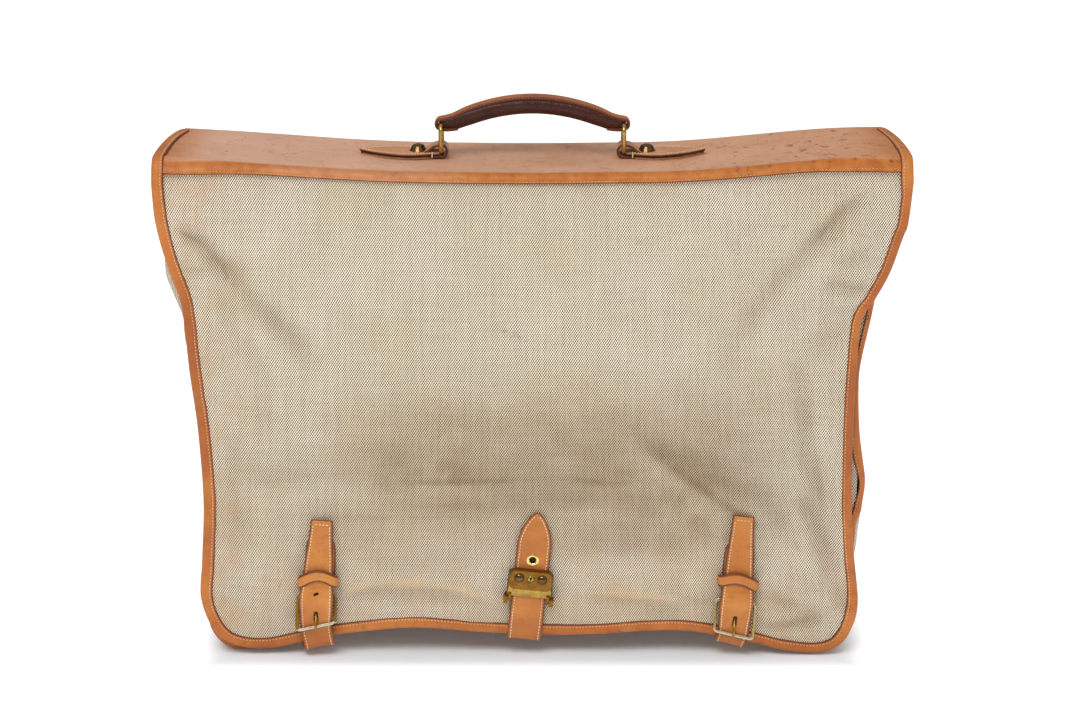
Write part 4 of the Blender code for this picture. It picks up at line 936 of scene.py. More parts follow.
vb = np.unique(np.r_[np.linspace(0, 0.45, 26), np.linspace(0.45, 0.68, 16), np.linspace(0.68, 1.0, 14), 0.993])
U, Vv = np.meshgrid(uu, vb, indexing="ij")
bx, by, bz = top_back(U, Vv)
bx = U * (top_x(by) - 9.0 * sstep(0.60, 0.75, Vv))
be = np.where(Vv > 0.9965, 1.0, 0.0)
lid_back = shell("lid_back_leather", np.stack([bx, by, bz], -1), 2.0, [TOP, FLESH], edge=be, out=(0, 0.5, 1), inner=1)
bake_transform(lid_back)
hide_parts("top_leather", "back_fold", "back_strip")

# ---------------------------------------------------------------- binding: along the lid's ends and round the flap


def ear(side):
    pts = []
    for y in (46.5, 38, 24, 8, -10, -26, -40):
        xh = side * (float(top_x(y)) + 0.4)
        pts.append((xh, y, float(z_top(xh)) - 0.2, 0.0, 0.0, 1.0))
    zc = float(z_top(side * 294.5))
    for a in (18, 36, 54, 72):
        q = math.radians(a)
        pts.append((side * 295.6, -44.0 - 15.2 * math.sin(q), zc - 0.2 - 15.4 * (1 - math.cos(q)), 0.0, -math.sin(q), math.cos(q)))
    pts.append((side * 296.0, -58.4, 396.0, 0.0, -1.0, 0.04))
    return pts


mid_o = OUT[(np.abs(OUT[:, 0]) < 320) & (np.arange(len(OUT)) > 20) & (np.arange(len(OUT)) < len(OUT) - 21)]
flat_part = np.c_[mid_o[:, 0], FLAP_Y - np.clip(flap_d(mid_o[:, 0], mid_o[:, 1]), -2.5, 4), mid_o[:, 1], np.zeros(len(mid_o)), -np.ones(len(mid_o)), np.zeros(len(mid_o))]
keep = flat_part[::6]
keep = keep[keep[:, 2] < 384]
path = spline(np.vstack([ear(-1), keep, ear(1)[::-1]]), step=1.7)
C = path[:, :3]
T = tangents(C)
N = unit(path[:, 3:])
N = unit(N - (N * T).sum(1)[:, None] * T)
A = np.cross(N, T)
run = np.r_[0, np.cumsum(np.linalg.norm(np.diff(C, axis=0), axis=1))]
sec = np.array([(8.7, 0.0), (8.7, 0.8), (8.45, 1.15), (7.95, 1.36), (7.3, 1.42), (6.4, 1.2), (5.4, 1.5), (4.0, 1.8), (2.4, 1.85), (0.9, 1.55),
                (-0.3, 0.8), (-0.95, -0.5), (-1.15, -1.8), (-0.95, -3.2), (-0.3, -4.4), (1.0, -5.2), (4.0, -5.4), (7.6, -5.2), (8.6, -4.9), (8.7, -3.6)])
sec_e = np.array([1, 1, 1, 0.75, 0.2, 0.15, 0, 0, 0, 0, 0.08, 0.2, 0.25, 0.2, 0.1, 0, 0, 0.3, 0.9, 1])
wide = 1.0 + 0.05 * vnoise(run / 37, 0 * run, 61) + 0.03 * vnoise(run / 11, 0 * run, 62)
wide = wide * (1 - 0.17 * sstep(30, 70, C[:, 2]) * sstep(0, 60, C[:, 0]) * sstep(402, 385, C[:, 2]))
puff = 1.0 + 0.10 * vnoise(run / 23, 0 * run, 63) + 0.07 * vnoise(run / 6, 0 * run, 64)
S = np.repeat(sec[None], len(C), 0)
S[..., 0] *= wide[:, None]
S[..., 1] = np.where(S[..., 1] > 0, S[..., 1] * puff[:, None], S[..., 1])
on_top = sstep(-0.5, -0.15, N[:, 1])[:, None]          # the lid's edge is thinner than the flap's
S[..., 1] = np.where(S[..., 1] < 0, S[..., 1] * (1 - 0.12 * on_top), S[..., 1])
near_end = np.minimum(run, run[-1] - run)
S = S * (0.42 + 0.58 * np.sqrt(np.clip(near_end / 9.0, 0, 1)))[:, None, None]
# tone along the binding: random darker stretches, a dark creased patch on the left at z 292, darker bands at
# mid-height, and a long darkening down the right side as painted shade
tone = 0.25 * vnoise(run / 52, 0 * run, 65) + 0.5 * np.clip(vnoise(run / 15, 0 * run, 66) - 0.35, 0, 1)
tone = tone + 0.75 * np.exp(-((C[:, 2] - 292) / 36) ** 2) * (C[:, 0] < 0) + 0.45 * np.exp(-((C[:, 2] - 215) / 40) ** 2) + 0.35 * np.exp(-((C[:, 2] - 330) / 30) ** 2) * (C[:, 0] > 0)
tone = tone + 0.40 * sstep(40, 90, C[:, 2]) * sstep(398, 360, C[:, 2]) * (C[:, 0] > 0) + 0.25 * sstep(60, 110, C[:, 2]) * sstep(300, 240, C[:, 2]) * (C[:, 0] < 0)
tone = np.clip(tone, 0, 1)
binding = sweep("flap_edge_binding", C, A, N, S, BIND, edge=sec_e, tone=tone)
BL0, BL1 = world((0, -46.5, 413.5)), world((0, -59.5, 400.5))
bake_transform(binding)
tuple(BL0)
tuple(BL1)
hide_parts("flap_binding", "top_binding_left", "top_binding_right")
th = Thread()
th.row((C + A * (6.4 * wide)[:, None] + N * (1.2 * puff)[:, None])[7:-7], N[7:-7], 2.7, 0.62, 0.36, 0.06)
bind_thread = th.make("flap_binding_stitches", THREAD_OLD)
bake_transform(bind_thread)
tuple(BL0)
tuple(BL1)

# header stitches, just above its cut edge
hx = np.linspace(-282, 282, 500)
hw_ = np.interp(hx / 294.0, uu, np.arange(len(uu)))
rowv = int(np.argmin(np.abs(vv - 0.93)))
hp_ = np.stack([np.interp(hw_, np.arange(len(uu)), g[:, rowv]) for g in (tx, ty, tz)], 1)
hn_ = unit(np.cross(np.gradient(np.stack([tx, ty, tz], -1), axis=0), np.gradient(np.stack([tx, ty, tz], -1), axis=1))[:, rowv])
if hn_[140, 1] > 0:
    hn_ = -hn_
hn_ = np.stack([np.interp(hw_, np.arange(len(uu)), hn_[:, k]) for k in range(3)], 1)
th = Thread()
th.row(hp_, hn_, 2.8, 0.62, 0.36, 0.04)
head_thread = th.make("header_stitches", THREAD_HEAD)
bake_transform(head_thread)
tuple(BL0)
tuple(BL1)
sx = np.linspace(-272, 272, 500)
th = Thread()
for zz in (375.2, 381.0):
    yb = 54.3 + 0.9 * vnoise(sx / 55, np.full(500, zz) / 20, 52)
    th.row(np.c_[sx, yb, np.full(500, zz)], (0, 1, 0), 3.1, 0.68, 0.40, 0.12)
back_thread = th.make("back_strip_stitches")
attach(back_thread, "bag")


# ---------------------------------------------------------------- the bag: soft panels, gussets, base, edges
def base_z(x):
    t = np.clip((205.0 - np.abs(x)) / 90.0, 0, 1)
    return 21.0 * t * t * (3 - 2 * t)


def half_path(widths):
    w = spline([(a, b) for a, b in widths], 60)
    p = [(205.0 * i / 24, float(base_z(205.0 * i / 24))) for i in range(25)] + [(222.0, 0.0), (240.0, 0.0)]
    corner = widths[0][1] - 240.0
    for k in range(1, 9):
        a = math.radians(90.0 * k / 9)
        p.append((240 + corner * math.sin(a), 30.0 * (1 - math.cos(a))))
    p += [(b, a) for a, b in w]
    return np.array(p)


hl, hr = half_path(BODY_LEFT), half_path(BODY_RIGHT)
BODY = even(np.vstack([np.c_[-hl[:, 0], hl[:, 1]][::-1][:-1], hr]), 700)
i_bl = int(np.argmax(-BODY[:, 0] * 0.8 - BODY[:, 1]))
i_br = int(np.argmax(BODY[:, 0] * 0.8 - BODY[:, 1]))


def panel(name, y, out, mat, bulge, seed, node, nu=150, nv=110):
    ln = inset(BODY, 4.6)
    tp = np.c_[np.linspace(ln[0, 0], ln[-1, 0], nu), np.full(nu, 394.0)]
    G = coons(tp, even(ln[i_bl:i_br + 1], nu), even(ln[:i_bl + 1], nv), even(ln[i_br:][::-1], nv))
    x, z = G[..., 0], G[..., 1]
    edge_in = np.clip(1 - np.abs(x) / 270, 0, 1) * np.clip(z / 60, 0, 1)
    b = bulge(x, z) * sstep(0, 0.14, edge_in) + 0.5 * vnoise(x / 40, z / 34, seed) * sstep(0, 0.1, edge_in)
    P = np.stack([x, y + out * b, z], -1)
    ob = shell(name, P, 1.3, [mat, LINING], cloth=np.stack([x, z], -1), out=(0, out, 0), inner=1)
    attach(ob, "bag")
    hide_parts(node)
    return ob


panel("front_panel_cloth", -46.3, -1, CANVAS_BODY, lambda x, z: 1.6 * np.sin(np.clip(z / 394, 0, 1) * math.pi) - 0.8 * np.exp(-((x - 60) / 40) ** 2) * sstep(200, 330, z), 71, "front_panel")
panel("back_panel_cloth", 51.6, 1, CANVAS_BODY, lambda x, z: (4.6 * np.sin(np.clip(z / 370, 0, 1) * math.pi) ** 1.2 * (1 - (x / 290) ** 2)
      + 1.6 * np.exp(-((x + 110 + 0.25 * z) / 22) ** 2) - 1.4 * np.exp(-((x - 130 + 0.2 * z) / 18) ** 2)) * sstep(378, 340, z), 72, "back_panel")


def edge_shift(x, z):
    """The front edge is drawn in behind the flap in places and sprung out in others."""
    x, z = np.asarray(x, float), np.asarray(z, float)
    s = 5.5 * sstep(262, 300, z) * (x < 0) * sstep(394, 340, z) + 3.2 * sstep(40, 60, z) * sstep(124, 108, z) * (x > 0)
    return s - 1.8 * np.exp(-((z - 146) / 15) ** 2) * (x > 0)


def gusset_x(y, z, side):
    """Half width of the bag's side at depth y and height z: folded in at the middle towards the mouth."""
    w = spline(BODY_LEFT if side < 0 else BODY_RIGHT, 120)
    base = np.interp(z, w[:, 0], w[:, 1])
    mid = np.exp(-((y - 3.0) / 20.0) ** 2)
    soft = np.sin(np.clip((y + 42) / 90, 0, 1) * math.pi)
    x = base - 8.5 * mid * sstep(300, 394, z) + 2.4 * soft * sstep(52, 110, z) * sstep(340, 250, z) - 2.7 * sstep(54, 47, z)
    x = x - (edge_shift(side * base, z) + 1.6) * sstep(-22, -40, y)
    if side < 0:
        x = x + 8.5 * soft * np.exp(-((z - 318) / 24) ** 2)
    else:
        x = x + 2.6 * soft * np.exp(-((z - 110) / 30) ** 2) * sstep(50, 80, z)
    x = x + (0.9 * vnoise(y / 16, z / 30, 81 + side) + 0.5 * vnoise(y / 8, z / 14, 83 + side)) * np.clip(soft * 2, 0, 1) * sstep(50, 76, z)
    x = x - 1.6 * np.exp(-((z - 205 - 0.5 * y * side) / 9) ** 2) * soft - 1.3 * np.exp(-((z - 262 + 0.7 * y * side) / 8) ** 2) * soft
    return x


for side, nm in ((-1, "left"), (1, "right")):
    y, z = np.meshgrid(np.linspace(-43.4, 49.4, 56), np.linspace(27.0, 394.0, 170), indexing="ij")
    x = side * gusset_x(y, z, side)
    ob = shell("gusset_cloth_" + nm, np.stack([x, y, z], -1), 1.3, [CANVAS_BODY, LINING], cloth=np.stack([y, z], -1), out=(side, 0, 0), inner=1)
    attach(ob, "bag")
    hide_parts("gusset_" + nm)

def front_lift(x):
    return 5.0 * sstep(236, 208, np.abs(x)) * sstep(70, 130, np.abs(x))


# leather base with turned-up ends
bp = BODY[(BODY[:, 1] < 46) | (np.abs(BODY[:, 0]) < 240)]
bp = even(bp, 260)
bn = np.c_[bp[:, 0] * 0, bp[:, 1] * 0]
tt = tangents(bp)
bn = np.c_[tt[:, 1], -tt[:, 0]]
yy = np.linspace(-44.2, 50.2, 40)
P = np.stack([np.repeat(bp[:, :1], 40, 1), np.repeat(yy[None], len(bp), 0), np.repeat(bp[:, 1:], 40, 1)], -1)
up = 0.35 * vnoise(P[..., 0] / 28, P[..., 1] / 22, 91) - 0.35
up = up * np.clip(P[..., 2] / 6.0, 0.12, 1)
P[..., 2] += front_lift(P[..., 0]) * sstep(-8, -44, P[..., 1]) * sstep(40, 20, P[..., 2])
P = P + np.stack([bn[:, :1] * up, up * 0, bn[:, 1:] * up], -1)
te = np.zeros(P.shape[:2])
te[0], te[-1] = 1, 1
base = shell("base_leather", P, 1.9, [BACKHIDE, FLESH], edge=te, out=(0, 0, -1), inner=1)
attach(base, "bag")
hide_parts("base_panel")
th = Thread()
for s in (-1, 1):
    y = np.linspace(-40, 46, 60)
    z = np.full(60, 42.0)
    w = spline(BODY_LEFT if s < 0 else BODY_RIGHT, 120)
    x = s * (np.interp(42.0, w[:, 0], w[:, 1]) + 0.15)
    th.row(np.c_[np.full(60, x), y, z], (s, 0, 0), 3.1, 0.68, 0.4, 0.1)
ob = th.make("base_end_stitches")
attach(ob, "bag")

# edges bound with leather
esec = np.array([(7.4, 2.3), (6.9, 2.75), (5.6, 2.95), (3.2, 3.0), (1.0, 2.7), (-0.5, 1.7), (-1.05, 0.0), (-0.5, -1.7), (1.0, -2.7), (3.2, -3.0), (5.6, -2.95), (6.9, -2.75), (7.4, -2.3)])
ee = np.array([1, 0.7, 0.05, 0, 0, 0.05, 0.1, 0.05, 0, 0, 0.05, 0.7, 1])
for nm, y, out in (("front_edge_binding", -45.2, -1.0), ("back_edge_binding", 50.8, 1.0)):
    p2 = even(BODY, 620)
    p2 = p2[:]
    t2 = tangents(p2)
    inn = np.c_[-t2[:, 1], t2[:, 0]]
    shift = np.full(len(p2), 0.35)
    if nm.startswith("front"):      # drawn in behind the flap in places, sprung out in others
        shift = shift + edge_shift(p2[:, 0], p2[:, 1])
    C2 = np.c_[p2[:, 0] + inn[:, 0] * shift, np.full(len(p2), y), p2[:, 1] + inn[:, 1] * shift]
    if out < 0:
        C2[:, 2] += front_lift(C2[:, 0]) * sstep(40, 20, C2[:, 2])
    low = C2[:, 2] < 1.4
    C2[low, 2] = 1.4
    A2 = np.c_[inn[:, 0], inn[:, 0] * 0, inn[:, 1]]
    run2 = np.r_[0, np.cumsum(np.linalg.norm(np.diff(C2, axis=0), axis=1))]
    pf = 1 + 0.08 * vnoise(run2 / 14, 0 * run2, 95) + 0.06 * vnoise(run2 / 40, 0 * run2, 96)
    wf = np.ones_like(pf)
    if out < 0:     # turned in more steeply where it shows beside the flap
        z, x = p2[:, 1], p2[:, 0]
        wf = wf - 0.42 * (x > 0) * sstep(222, 240, z) - 0.4 * (x > 0) * np.exp(-((z - 143) / 20) ** 2)
    S2 = esec[None] * np.stack([wf, pf], -1)[:, None]
    N2 = np.array([0.0, out, 0.0])
    ob = sweep(nm.replace("_binding", "_piping"), C2, A2, N2, S2, BIND, edge=ee,
               tone=np.clip(0.3 * vnoise(run2 / 45, 0 * run2, 97) + 0.1, 0, 1))
    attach(ob, "bag")
    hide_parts(nm)
    th = Thread()
    th.row(C2 + A2 * (5.2 * wf)[:, None] + N2 * 2.95, N2, 2.8, 0.62, 0.36, 0.06)
    ob = th.make(nm.replace("_binding", "_piping_stitches"), THREAD_OLD)
    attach(ob, "bag")

# lining tub
ln = inset(BODY, 7.0)
lp = even(ln, 240)
yy = np.linspace(-43.0, 48.6, 30)
rows = []
for s_i, (px_, pz_) in enumerate(lp):
    rows.append([(px_, yv, pz_) for yv in yy])
P = np.array(rows)
wz = P[..., 2]
soft = np.sin(np.clip((P[..., 1] + 42) / 90, 0, 1) * math.pi)
P[..., 0] -= np.sign(P[..., 0]) * (np.abs(P[..., 0]) > 200) * (8.5 * np.exp(-((P[..., 1] - 3) / 20.0) ** 2) * sstep(300, 394, wz) + 1.6 * soft)
P[..., 2] += 2.2 + 0.6 * vnoise(P[..., 0] / 30, P[..., 1] / 26, 101) * (np.abs(P[..., 0]) < 200)
walls = shell("lining_base_and_sides", P, 0.7, LINING, out=(0, 0, 1))
sheets = [walls]
for nm, y, out in (("lining_front", -43.6, 1), ("lining_back", 49.2, -1)):
    ln2 = inset(BODY, 7.6)
    tp = np.c_[np.linspace(ln2[0, 0], ln2[-1, 0], 110), np.full(110, 393.6)]
    G = coons(tp, even(ln2[i_bl:i_br + 1], 110), even(ln2[:i_bl + 1], 80), even(ln2[i_br:][::-1], 80))
    x, z = G[..., 0], G[..., 1] + 1.2 * (G[..., 1] < 60)
    b = 0.5 + 0.7 * vnoise(x / 46, z / 50, 103) + 0.5 * vnoise(x / 20, z / 60, 104)
    sheets.append(shell(nm, np.stack([x, y + out * np.abs(b) * 0.7, z], -1), 0.6, LINING, out=(0, out, 0)))
for ob, flat, area in zip(sheets, ((0.1, 1.29), (0.56, 0.39), (0.56, 0.39)), (0.118, 0.202, 0.202)):
    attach(ob, "bag")
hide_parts("lining")

# ---------------------------------------------------------------- straps
PIV_N = 3.1


def seat(px, pz, lean):
    """Local (x across, n outward, s up the strap) to the part's frame."""
    c, s = math.cos(math.radians(lean)), math.sin(math.radians(lean))

    def at(p):
        p = np.asarray(p, float)
        return np.stack([px + p[..., 0] * c + p[..., 2] * s, FLAP_Y - p[..., 1], pz - p[..., 0] * s + p[..., 2] * c], -1)

    def way(p):
        p = np.asarray(p, float)
        return np.stack([p[..., 0] * c + p[..., 2] * s, -p[..., 1], -p[..., 0] * s + p[..., 2] * c], -1)
    return at, way


def frames(local, way, across=(1.0, 0.0, 0.0)):
    """Across and outward directions along a local path lying in the n-s plane."""
    t = tangents(local)
    A = np.broadcast_to(np.asarray(across, float), t.shape)
    A = unit(A - (A * t).sum(1)[:, None] * t)
    n = np.cross(t, A)              # outward when the path climbs
    return way(A), way(n), A, n


def oval(name, at, x0, s0, x1, s1, r, n0, n1, m=20):
    """Closed slug for cutting a slot or hole through a strap."""
    d = unit(np.array([x1 - x0, s1 - s0])) if (x0, s0) != (x1, s1) else np.array([0.0, 1.0])
    q = np.array([-d[1], d[0]])
    loop = []
    for k in range(m // 2 + 1):
        a = math.pi * k / (m // 2)
        loop.append(np.array([x1, s1]) + r * (math.cos(a) * -q + math.sin(a) * d))
    for k in range(m // 2 + 1):
        a = math.pi * k / (m // 2)
        loop.append(np.array([x0, s0]) + r * (math.cos(a) * q - math.sin(a) * d))
    loop = np.array(loop)
    k = len(loop)
    V = np.vstack([at(np.c_[loop[:, 0], np.full(k, n0), loop[:, 1]]), at(np.c_[loop[:, 0], np.full(k, n1), loop[:, 1]])])
    F = [[i, (i + 1) % k, k + (i + 1) % k, k + i] for i in range(k)] + [list(range(k))[::-1], list(range(k, 2 * k))]
    return piece(name, V, F, STRAP)


def blade_path(low_s, tip_s, n_of, foot, xoff):
    """Strap's centre line from its root on the bag's front, under the flap's edge, and up to its tip."""
    pts = [(0, n, s) for n, s in foot]
    for s in np.arange(low_s + 8.0, tip_s + 0.1, 6.0):
        pts.append((0, float(n_of(s)), s))
    if tip_s - pts[-1][2] > 1.5:
        pts.append((0, float(n_of(tip_s)), tip_s))
    p = spline(pts, step=1.0)
    p[:, 0] = xoff(p[:, 2], p[:, 1])
    return p


BILLET_END = {"left": (66.5, 8.9), "right": (74.5, 8.8)}
for side, (px, pz, lean, low) in STRAPS.items():
    at, way = seat(px, pz, lean)
    sgn = 1 if side == "left" else -1
    # sewn tab under the strap, its lower end rolled round the pivot bar
    roll = [(0, PIV_N - 2.05 * math.cos(a), -2.05 * math.sin(a)) for a in np.radians(np.linspace(-8, 225, 20))]
    tab = spline([(0, 1.15, 50.0), (0, 1.15, 30.0), (0, 1.15, 12.0), (0, 1.1, 5.0)] + roll, step=0.9)[::-1]
    tab[:, 0] += sgn * (2.6 if side == "left" else 1.2) * sstep(2, 30, tab[:, 2])
    Aw, Nw, Al, Nl = frames(tab, way)
    half = np.interp(tab[:, 2], [-3, 0, 40, 46, 50], [12.7, 12.9, 12.4, 11.6, 9.4])
    chape = strap("chape_tab_" + side, at(tab), Aw, Nw, half, 1.5, STRAP)
    cut(chape, [oval("cut_a", at, 0, -3.0, 0, 5.0, 2.2, -0.6, 9.0)])
    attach(chape, "flap")
    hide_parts("chape_" + side)

    # keeper: an arched band over the strap, its ends drawn down
    ang = np.linspace(-4, 184, 44)
    ex = 0.46
    kx = -15.2 * np.sign(np.cos(np.radians(ang))) * np.abs(np.cos(np.radians(ang))) ** ex
    kn = 0.55 + 9.9 * np.sign(np.sin(np.radians(ang))) * np.abs(np.sin(np.radians(ang))) ** ex
    kn = np.maximum(kn, 0.5)
    arch = even(np.c_[kx, kn, np.zeros(len(kx))], 60)
    kp = np.c_[arch[:, 0], arch[:, 1], (21.2 if side == "left" else 22.4) - (7.4 if side == "left" else 5.6) * (np.abs(arch[:, 0]) / 15.2) ** 2.0 - 1.5 * sstep(6, 0, arch[:, 1])]
    kp[:, 2] += (0.05 if side == "left" else -0.09) * kp[:, 0]
    kp[:, 0] += 0.9 if side == "left" else 0.0
    t = tangents(kp)
    Al = np.broadcast_to(np.array([0.0, 0.0, 1.0]), t.shape)
    Al = unit(Al - (Al * t).sum(1)[:, None] * t)
    Nl = np.cross(t, Al)
    if Nl[30, 1] < 0:
        Nl = -Nl
    keeper = strap("keeper_loop_" + side, at(kp), way(Al), way(Nl), 4.5 + 0.4 * np.sin(np.linspace(0, math.pi, 60)), 2.5, STRAP, r=1.0, crown=0.6)
    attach(keeper, "flap")
    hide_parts("keeper_" + side)

    # strap with its root: bends where it leaves the bag
    tip, tip_half = BILLET_END[side]
    low_s = low + 1.6 - pz + (3.0 if side == "left" else 4.0)     # the slack strap rides a little up
    foot = [(-7.4, low_s + 46), (-7.4, low_s + 30), (-7.4, low_s + 12), (-7.0, low_s + 5), (-5.2, low_s + 1.2), (-2.2, low_s + 0.0),
            (2.4, low_s - 0.2), (5.0, low_s + 0.6), (6.6, low_s + 3.4)]

    def n_of(s):
        return np.interp(s, [-60, -40, -32, -25, -17, -9, -2, 5, 12, 20, 32, 46, 80], [6.6, 6.8, 6.6, 6.7, 8.5, 10.4, 11.2, 10.7, 9.2, 7.3, 5.6, 4.3, 3.4])

    def xoff(s, n):
        bend = sgn * 3.0 * sstep(-24, -44, s) * sstep(-6, 6, n)
        return bend + (3.6 if side == "left" else -1.2) * np.clip(s / 66.0, 0, 1) * (n > 0)
    bp_ = blade_path(low_s, tip, n_of, foot, xoff)
    tilt = np.radians(13.0 * sgn) * np.where(bp_[:, 1] > 4, sstep(-25, -42, bp_[:, 2]), sstep(-9, -3, bp_[:, 1]))
    across = np.stack([np.cos(tilt), 0 * tilt, np.sin(tilt)], 1)
    Aw, Nw, Al, Nl = frames(bp_, way, across)
    run_b = np.r_[0, np.cumsum(np.linalg.norm(np.diff(bp_, axis=0), axis=1))]
    front_s = np.where(bp_[:, 1] > 0, bp_[:, 2], -99)
    half = np.interp(front_s, [-99, -34, -22, -8, 4, 16, 26, tip - 2, tip], [12.5, 12.5, 12.9, 13.5, 13.5, 12.6, 11.9, tip_half, tip_half - 0.2]) + 0.12 * vnoise(run_b / 15, run_b * 0, 111)
    # painted shade under and beside the buckle's far bar and on either side of the keeper, a painted highlight on the
    # hump, darker near the tip
    painted_light_and_wear = 0.95 * sstep(-23, -31, front_s) * (front_s > -90) + 0.5 * np.exp(-((front_s - 11) / 2.5) ** 2) + 0.35 * np.exp(-((front_s - 27) / 2.5) ** 2)
    painted_light_and_wear = painted_light_and_wear - 0.45 * np.exp(-((front_s + 1) / 6.5) ** 2) + 0.4 * np.exp(-((front_s + 22) / 4) ** 2) + 0.25 * np.exp(-((front_s - tip + 3) / 5) ** 2)
    billet = strap("billet_strap_" + side, at(bp_), Aw, Nw, half, 2.3, STRAP, crown=0.12, tone=np.clip(painted_light_and_wear, -1, 1))
    cutters = [oval("cut_b", at, 0, -18.4, 0, -11.6, 2.0, 2, 14)]
    if side == "left":
        cutters.append(oval("cut_c", at, -1.0, 5.0, 1.0, 6.0, 1.25, 2, 14))
    cut(billet, cutters)
    hinge = at((0, 7.1, low + 1.6 - pz))
    turn0, turn1 = world(at((0, 2.0, low_s))), world(at((0, 6.9, low_s + 0.4)))
    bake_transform(billet)
    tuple(turn0)
    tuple(turn1)
    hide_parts("billet_" + side, "strap_foot_" + side)
    th = Thread()
    P_ = at(bp_)
    last = len(bp_) - 4
    for e in (-1, 1):
        rowp = P_[3:last] + Aw[3:last] * (e * (half[3:last] - 2.5))[:, None] + Nw[3:last] * 1.16
        th.row(rowp, Nw[3:last], 2.6, 0.66, 0.42, 0.08)
    a, b = P_[last] - Aw[last] * (half[last] - 3.3) + Nw[last] * 1.2, P_[last] + Aw[last] * (half[last] - 3.3) + Nw[last] * 1.2
    th.row(np.linspace(a, b, 12), Nw[last], 2.6, 0.66, 0.42, 0.08)
    ob = th.make("billet_stitches_" + side)
    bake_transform(ob)
    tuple(turn0)
    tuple(turn1)

    # buckle: flat-faced cast frame, far bar a little askew as worn
    skew = 0.26 if side == "left" else -0.17
    metal = BRASS_BUCKLE if side == "left" else BRASS_PALE
    HB, LB = (15.3, 23.6) if side == "left" else (16.0, 27.0)
    loop = []
    for cx, cs, r, a0 in ((HB - 2.6, -LB + 2.6, 2.6, -90), (HB - 2.2, -2.2, 2.2, 0), (-HB + 2.2, -2.2, 2.2, 90), (-HB + 2.6, -LB + 2.6, 2.6, 180)):
        for k in range(8):
            a = math.radians(a0 + 90.0 * k / 7)
            loop.append((cx + r * math.cos(a), cs + r * math.sin(a)))
    loop = np.array(loop + loop[:1])
    loop = even(loop, 161)[:-1]
    lz = loop[:, 1] + skew * loop[:, 0] * (0.22 + 0.78 * np.clip(-loop[:, 1] / LB, 0, 1))
    ln_ = PIV_N + (9.9 - PIV_N) * np.clip(-loop[:, 1] / LB, 0.0, 1.0) ** 1.1
    ln_ = np.where(loop[:, 1] > -1, PIV_N, ln_)
    bc = np.c_[loop[:, 0], ln_, lz]
    t = tangents(bc, True)
    Nl = np.broadcast_to(np.array([0.0, 1.0, 0.25]), t.shape)
    Nl = unit(Nl - (Nl * t).sum(1)[:, None] * t)
    Al = np.cross(t, Nl)
    top_bar = (loop[:, 1] > -2.6)
    far = loop[:, 1] < -LB + 1.2
    w = np.where(top_bar, 1.3, np.where(far, 1.15, 1.55 if side == "left" else 1.15))
    h = np.where(top_bar, 1.3, 1.2)
    q = circle(1.0, 20)
    q = np.sign(q) * np.abs(q) ** 0.42
    S = q[None] * np.stack([w, h], -1)[:, None]
    buckle = sweep("buckle_frame_" + side, at(bc), way(Al), way(Nl), S, metal, closed=True, sharp=0)
    buckle.data.materials.append(BRASS_WORN)
    for f in buckle.data.polygons:      # plating rubbed pale along the far bar
        if loop[f.index // 20, 1] < -LB + 1.2:
            f.material_index = 1
    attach(buckle, "buckle_" + side)
    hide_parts("buckle_" + side)

    # prong: eye round the pivot bar, bent pin through the slot
    pin = spline([(0, PIV_N + 1.9, -0.8), (0, 5.2, -5.0), (0, 5.0, -10.0), (0, 6.0, -13.4), (0, 8.4, -16.8), (0, 11.6, -21.4), (0, 12.6, -24.6), (0, 12.5, -28.0)], 60)
    pin[:, 2] *= 0.91 if side == "left" else 0.98
    rr = np.interp(np.linspace(0, 1, 60), [0, 0.5, 0.9, 1.0], [1.25, 1.2, 1.05, 0.8])
    pr = wire("prong_pin_" + side, at(pin), rr, BRASS_BUCKLE, m=12, flat=0.9)
    ey = np.array([(0, PIV_N + 2.15 * math.cos(a), 2.15 * math.sin(a)) for a in np.linspace(0, 2 * math.pi, 40, endpoint=False)])
    t = tangents(ey, True)
    Nl = unit(ey - np.array([0, PIV_N, 0]))
    Al = np.broadcast_to(np.array([1.0, 0, 0]), t.shape)
    S = np.array([(-1.7, -0.5), (1.7, -0.5), (1.7, 0.3), (1.4, 0.55), (-1.4, 0.55), (-1.7, 0.3)])
    eye = sweep("prong_eye_" + side, at(ey), way(Al), way(Nl), S, BRASS_BUCKLE, closed=True)
    pr = join([pr, eye], "prong_pin_" + side)
    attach(pr, "prong_" + side)
    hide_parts("prong_" + side)

# ---------------------------------------------------------------- middle strap and lock
px, pz, lean, low = LOCK
at, way = seat(px, pz, lean)
low_s = low + 1.2 - pz
foot = [(-7.4, low_s + 46), (-7.4, low_s + 30), (-7.4, low_s + 12), (-7.0, low_s + 5), (-5.2, low_s + 1.2), (-2.2, low_s + 0.0), (0.6, low_s + 0.0), (2.6, low_s + 1.2), (3.4, low_s + 4.0)]
tip = 59.5


def n_mid(s):
    return np.interp(s, [-60, -30, -16, 14, 30, 50, 70], [3.6, 3.9, 3.5, 3.4, 3.3, 3.0, 2.8])


bp_ = blade_path(low_s, tip, n_mid, foot, lambda s, n: 0.0 * s)
Aw, Nw, Al, Nl = frames(bp_, way)
front_s = np.where(bp_[:, 1] > 0, bp_[:, 2], -99)
half = np.interp(tip - front_s, [0, 0.8, 2, 4, 7, 11, 15, 20, 25, 29], [1.6, 2.9, 4.4, 6.2, 8.2, 10.2, 11.8, 13.2, 13.9, 14.0])
half = np.where(front_s < tip - 29, 14.0 + 0.15 * vnoise(front_s / 9, front_s * 0, 113), half)
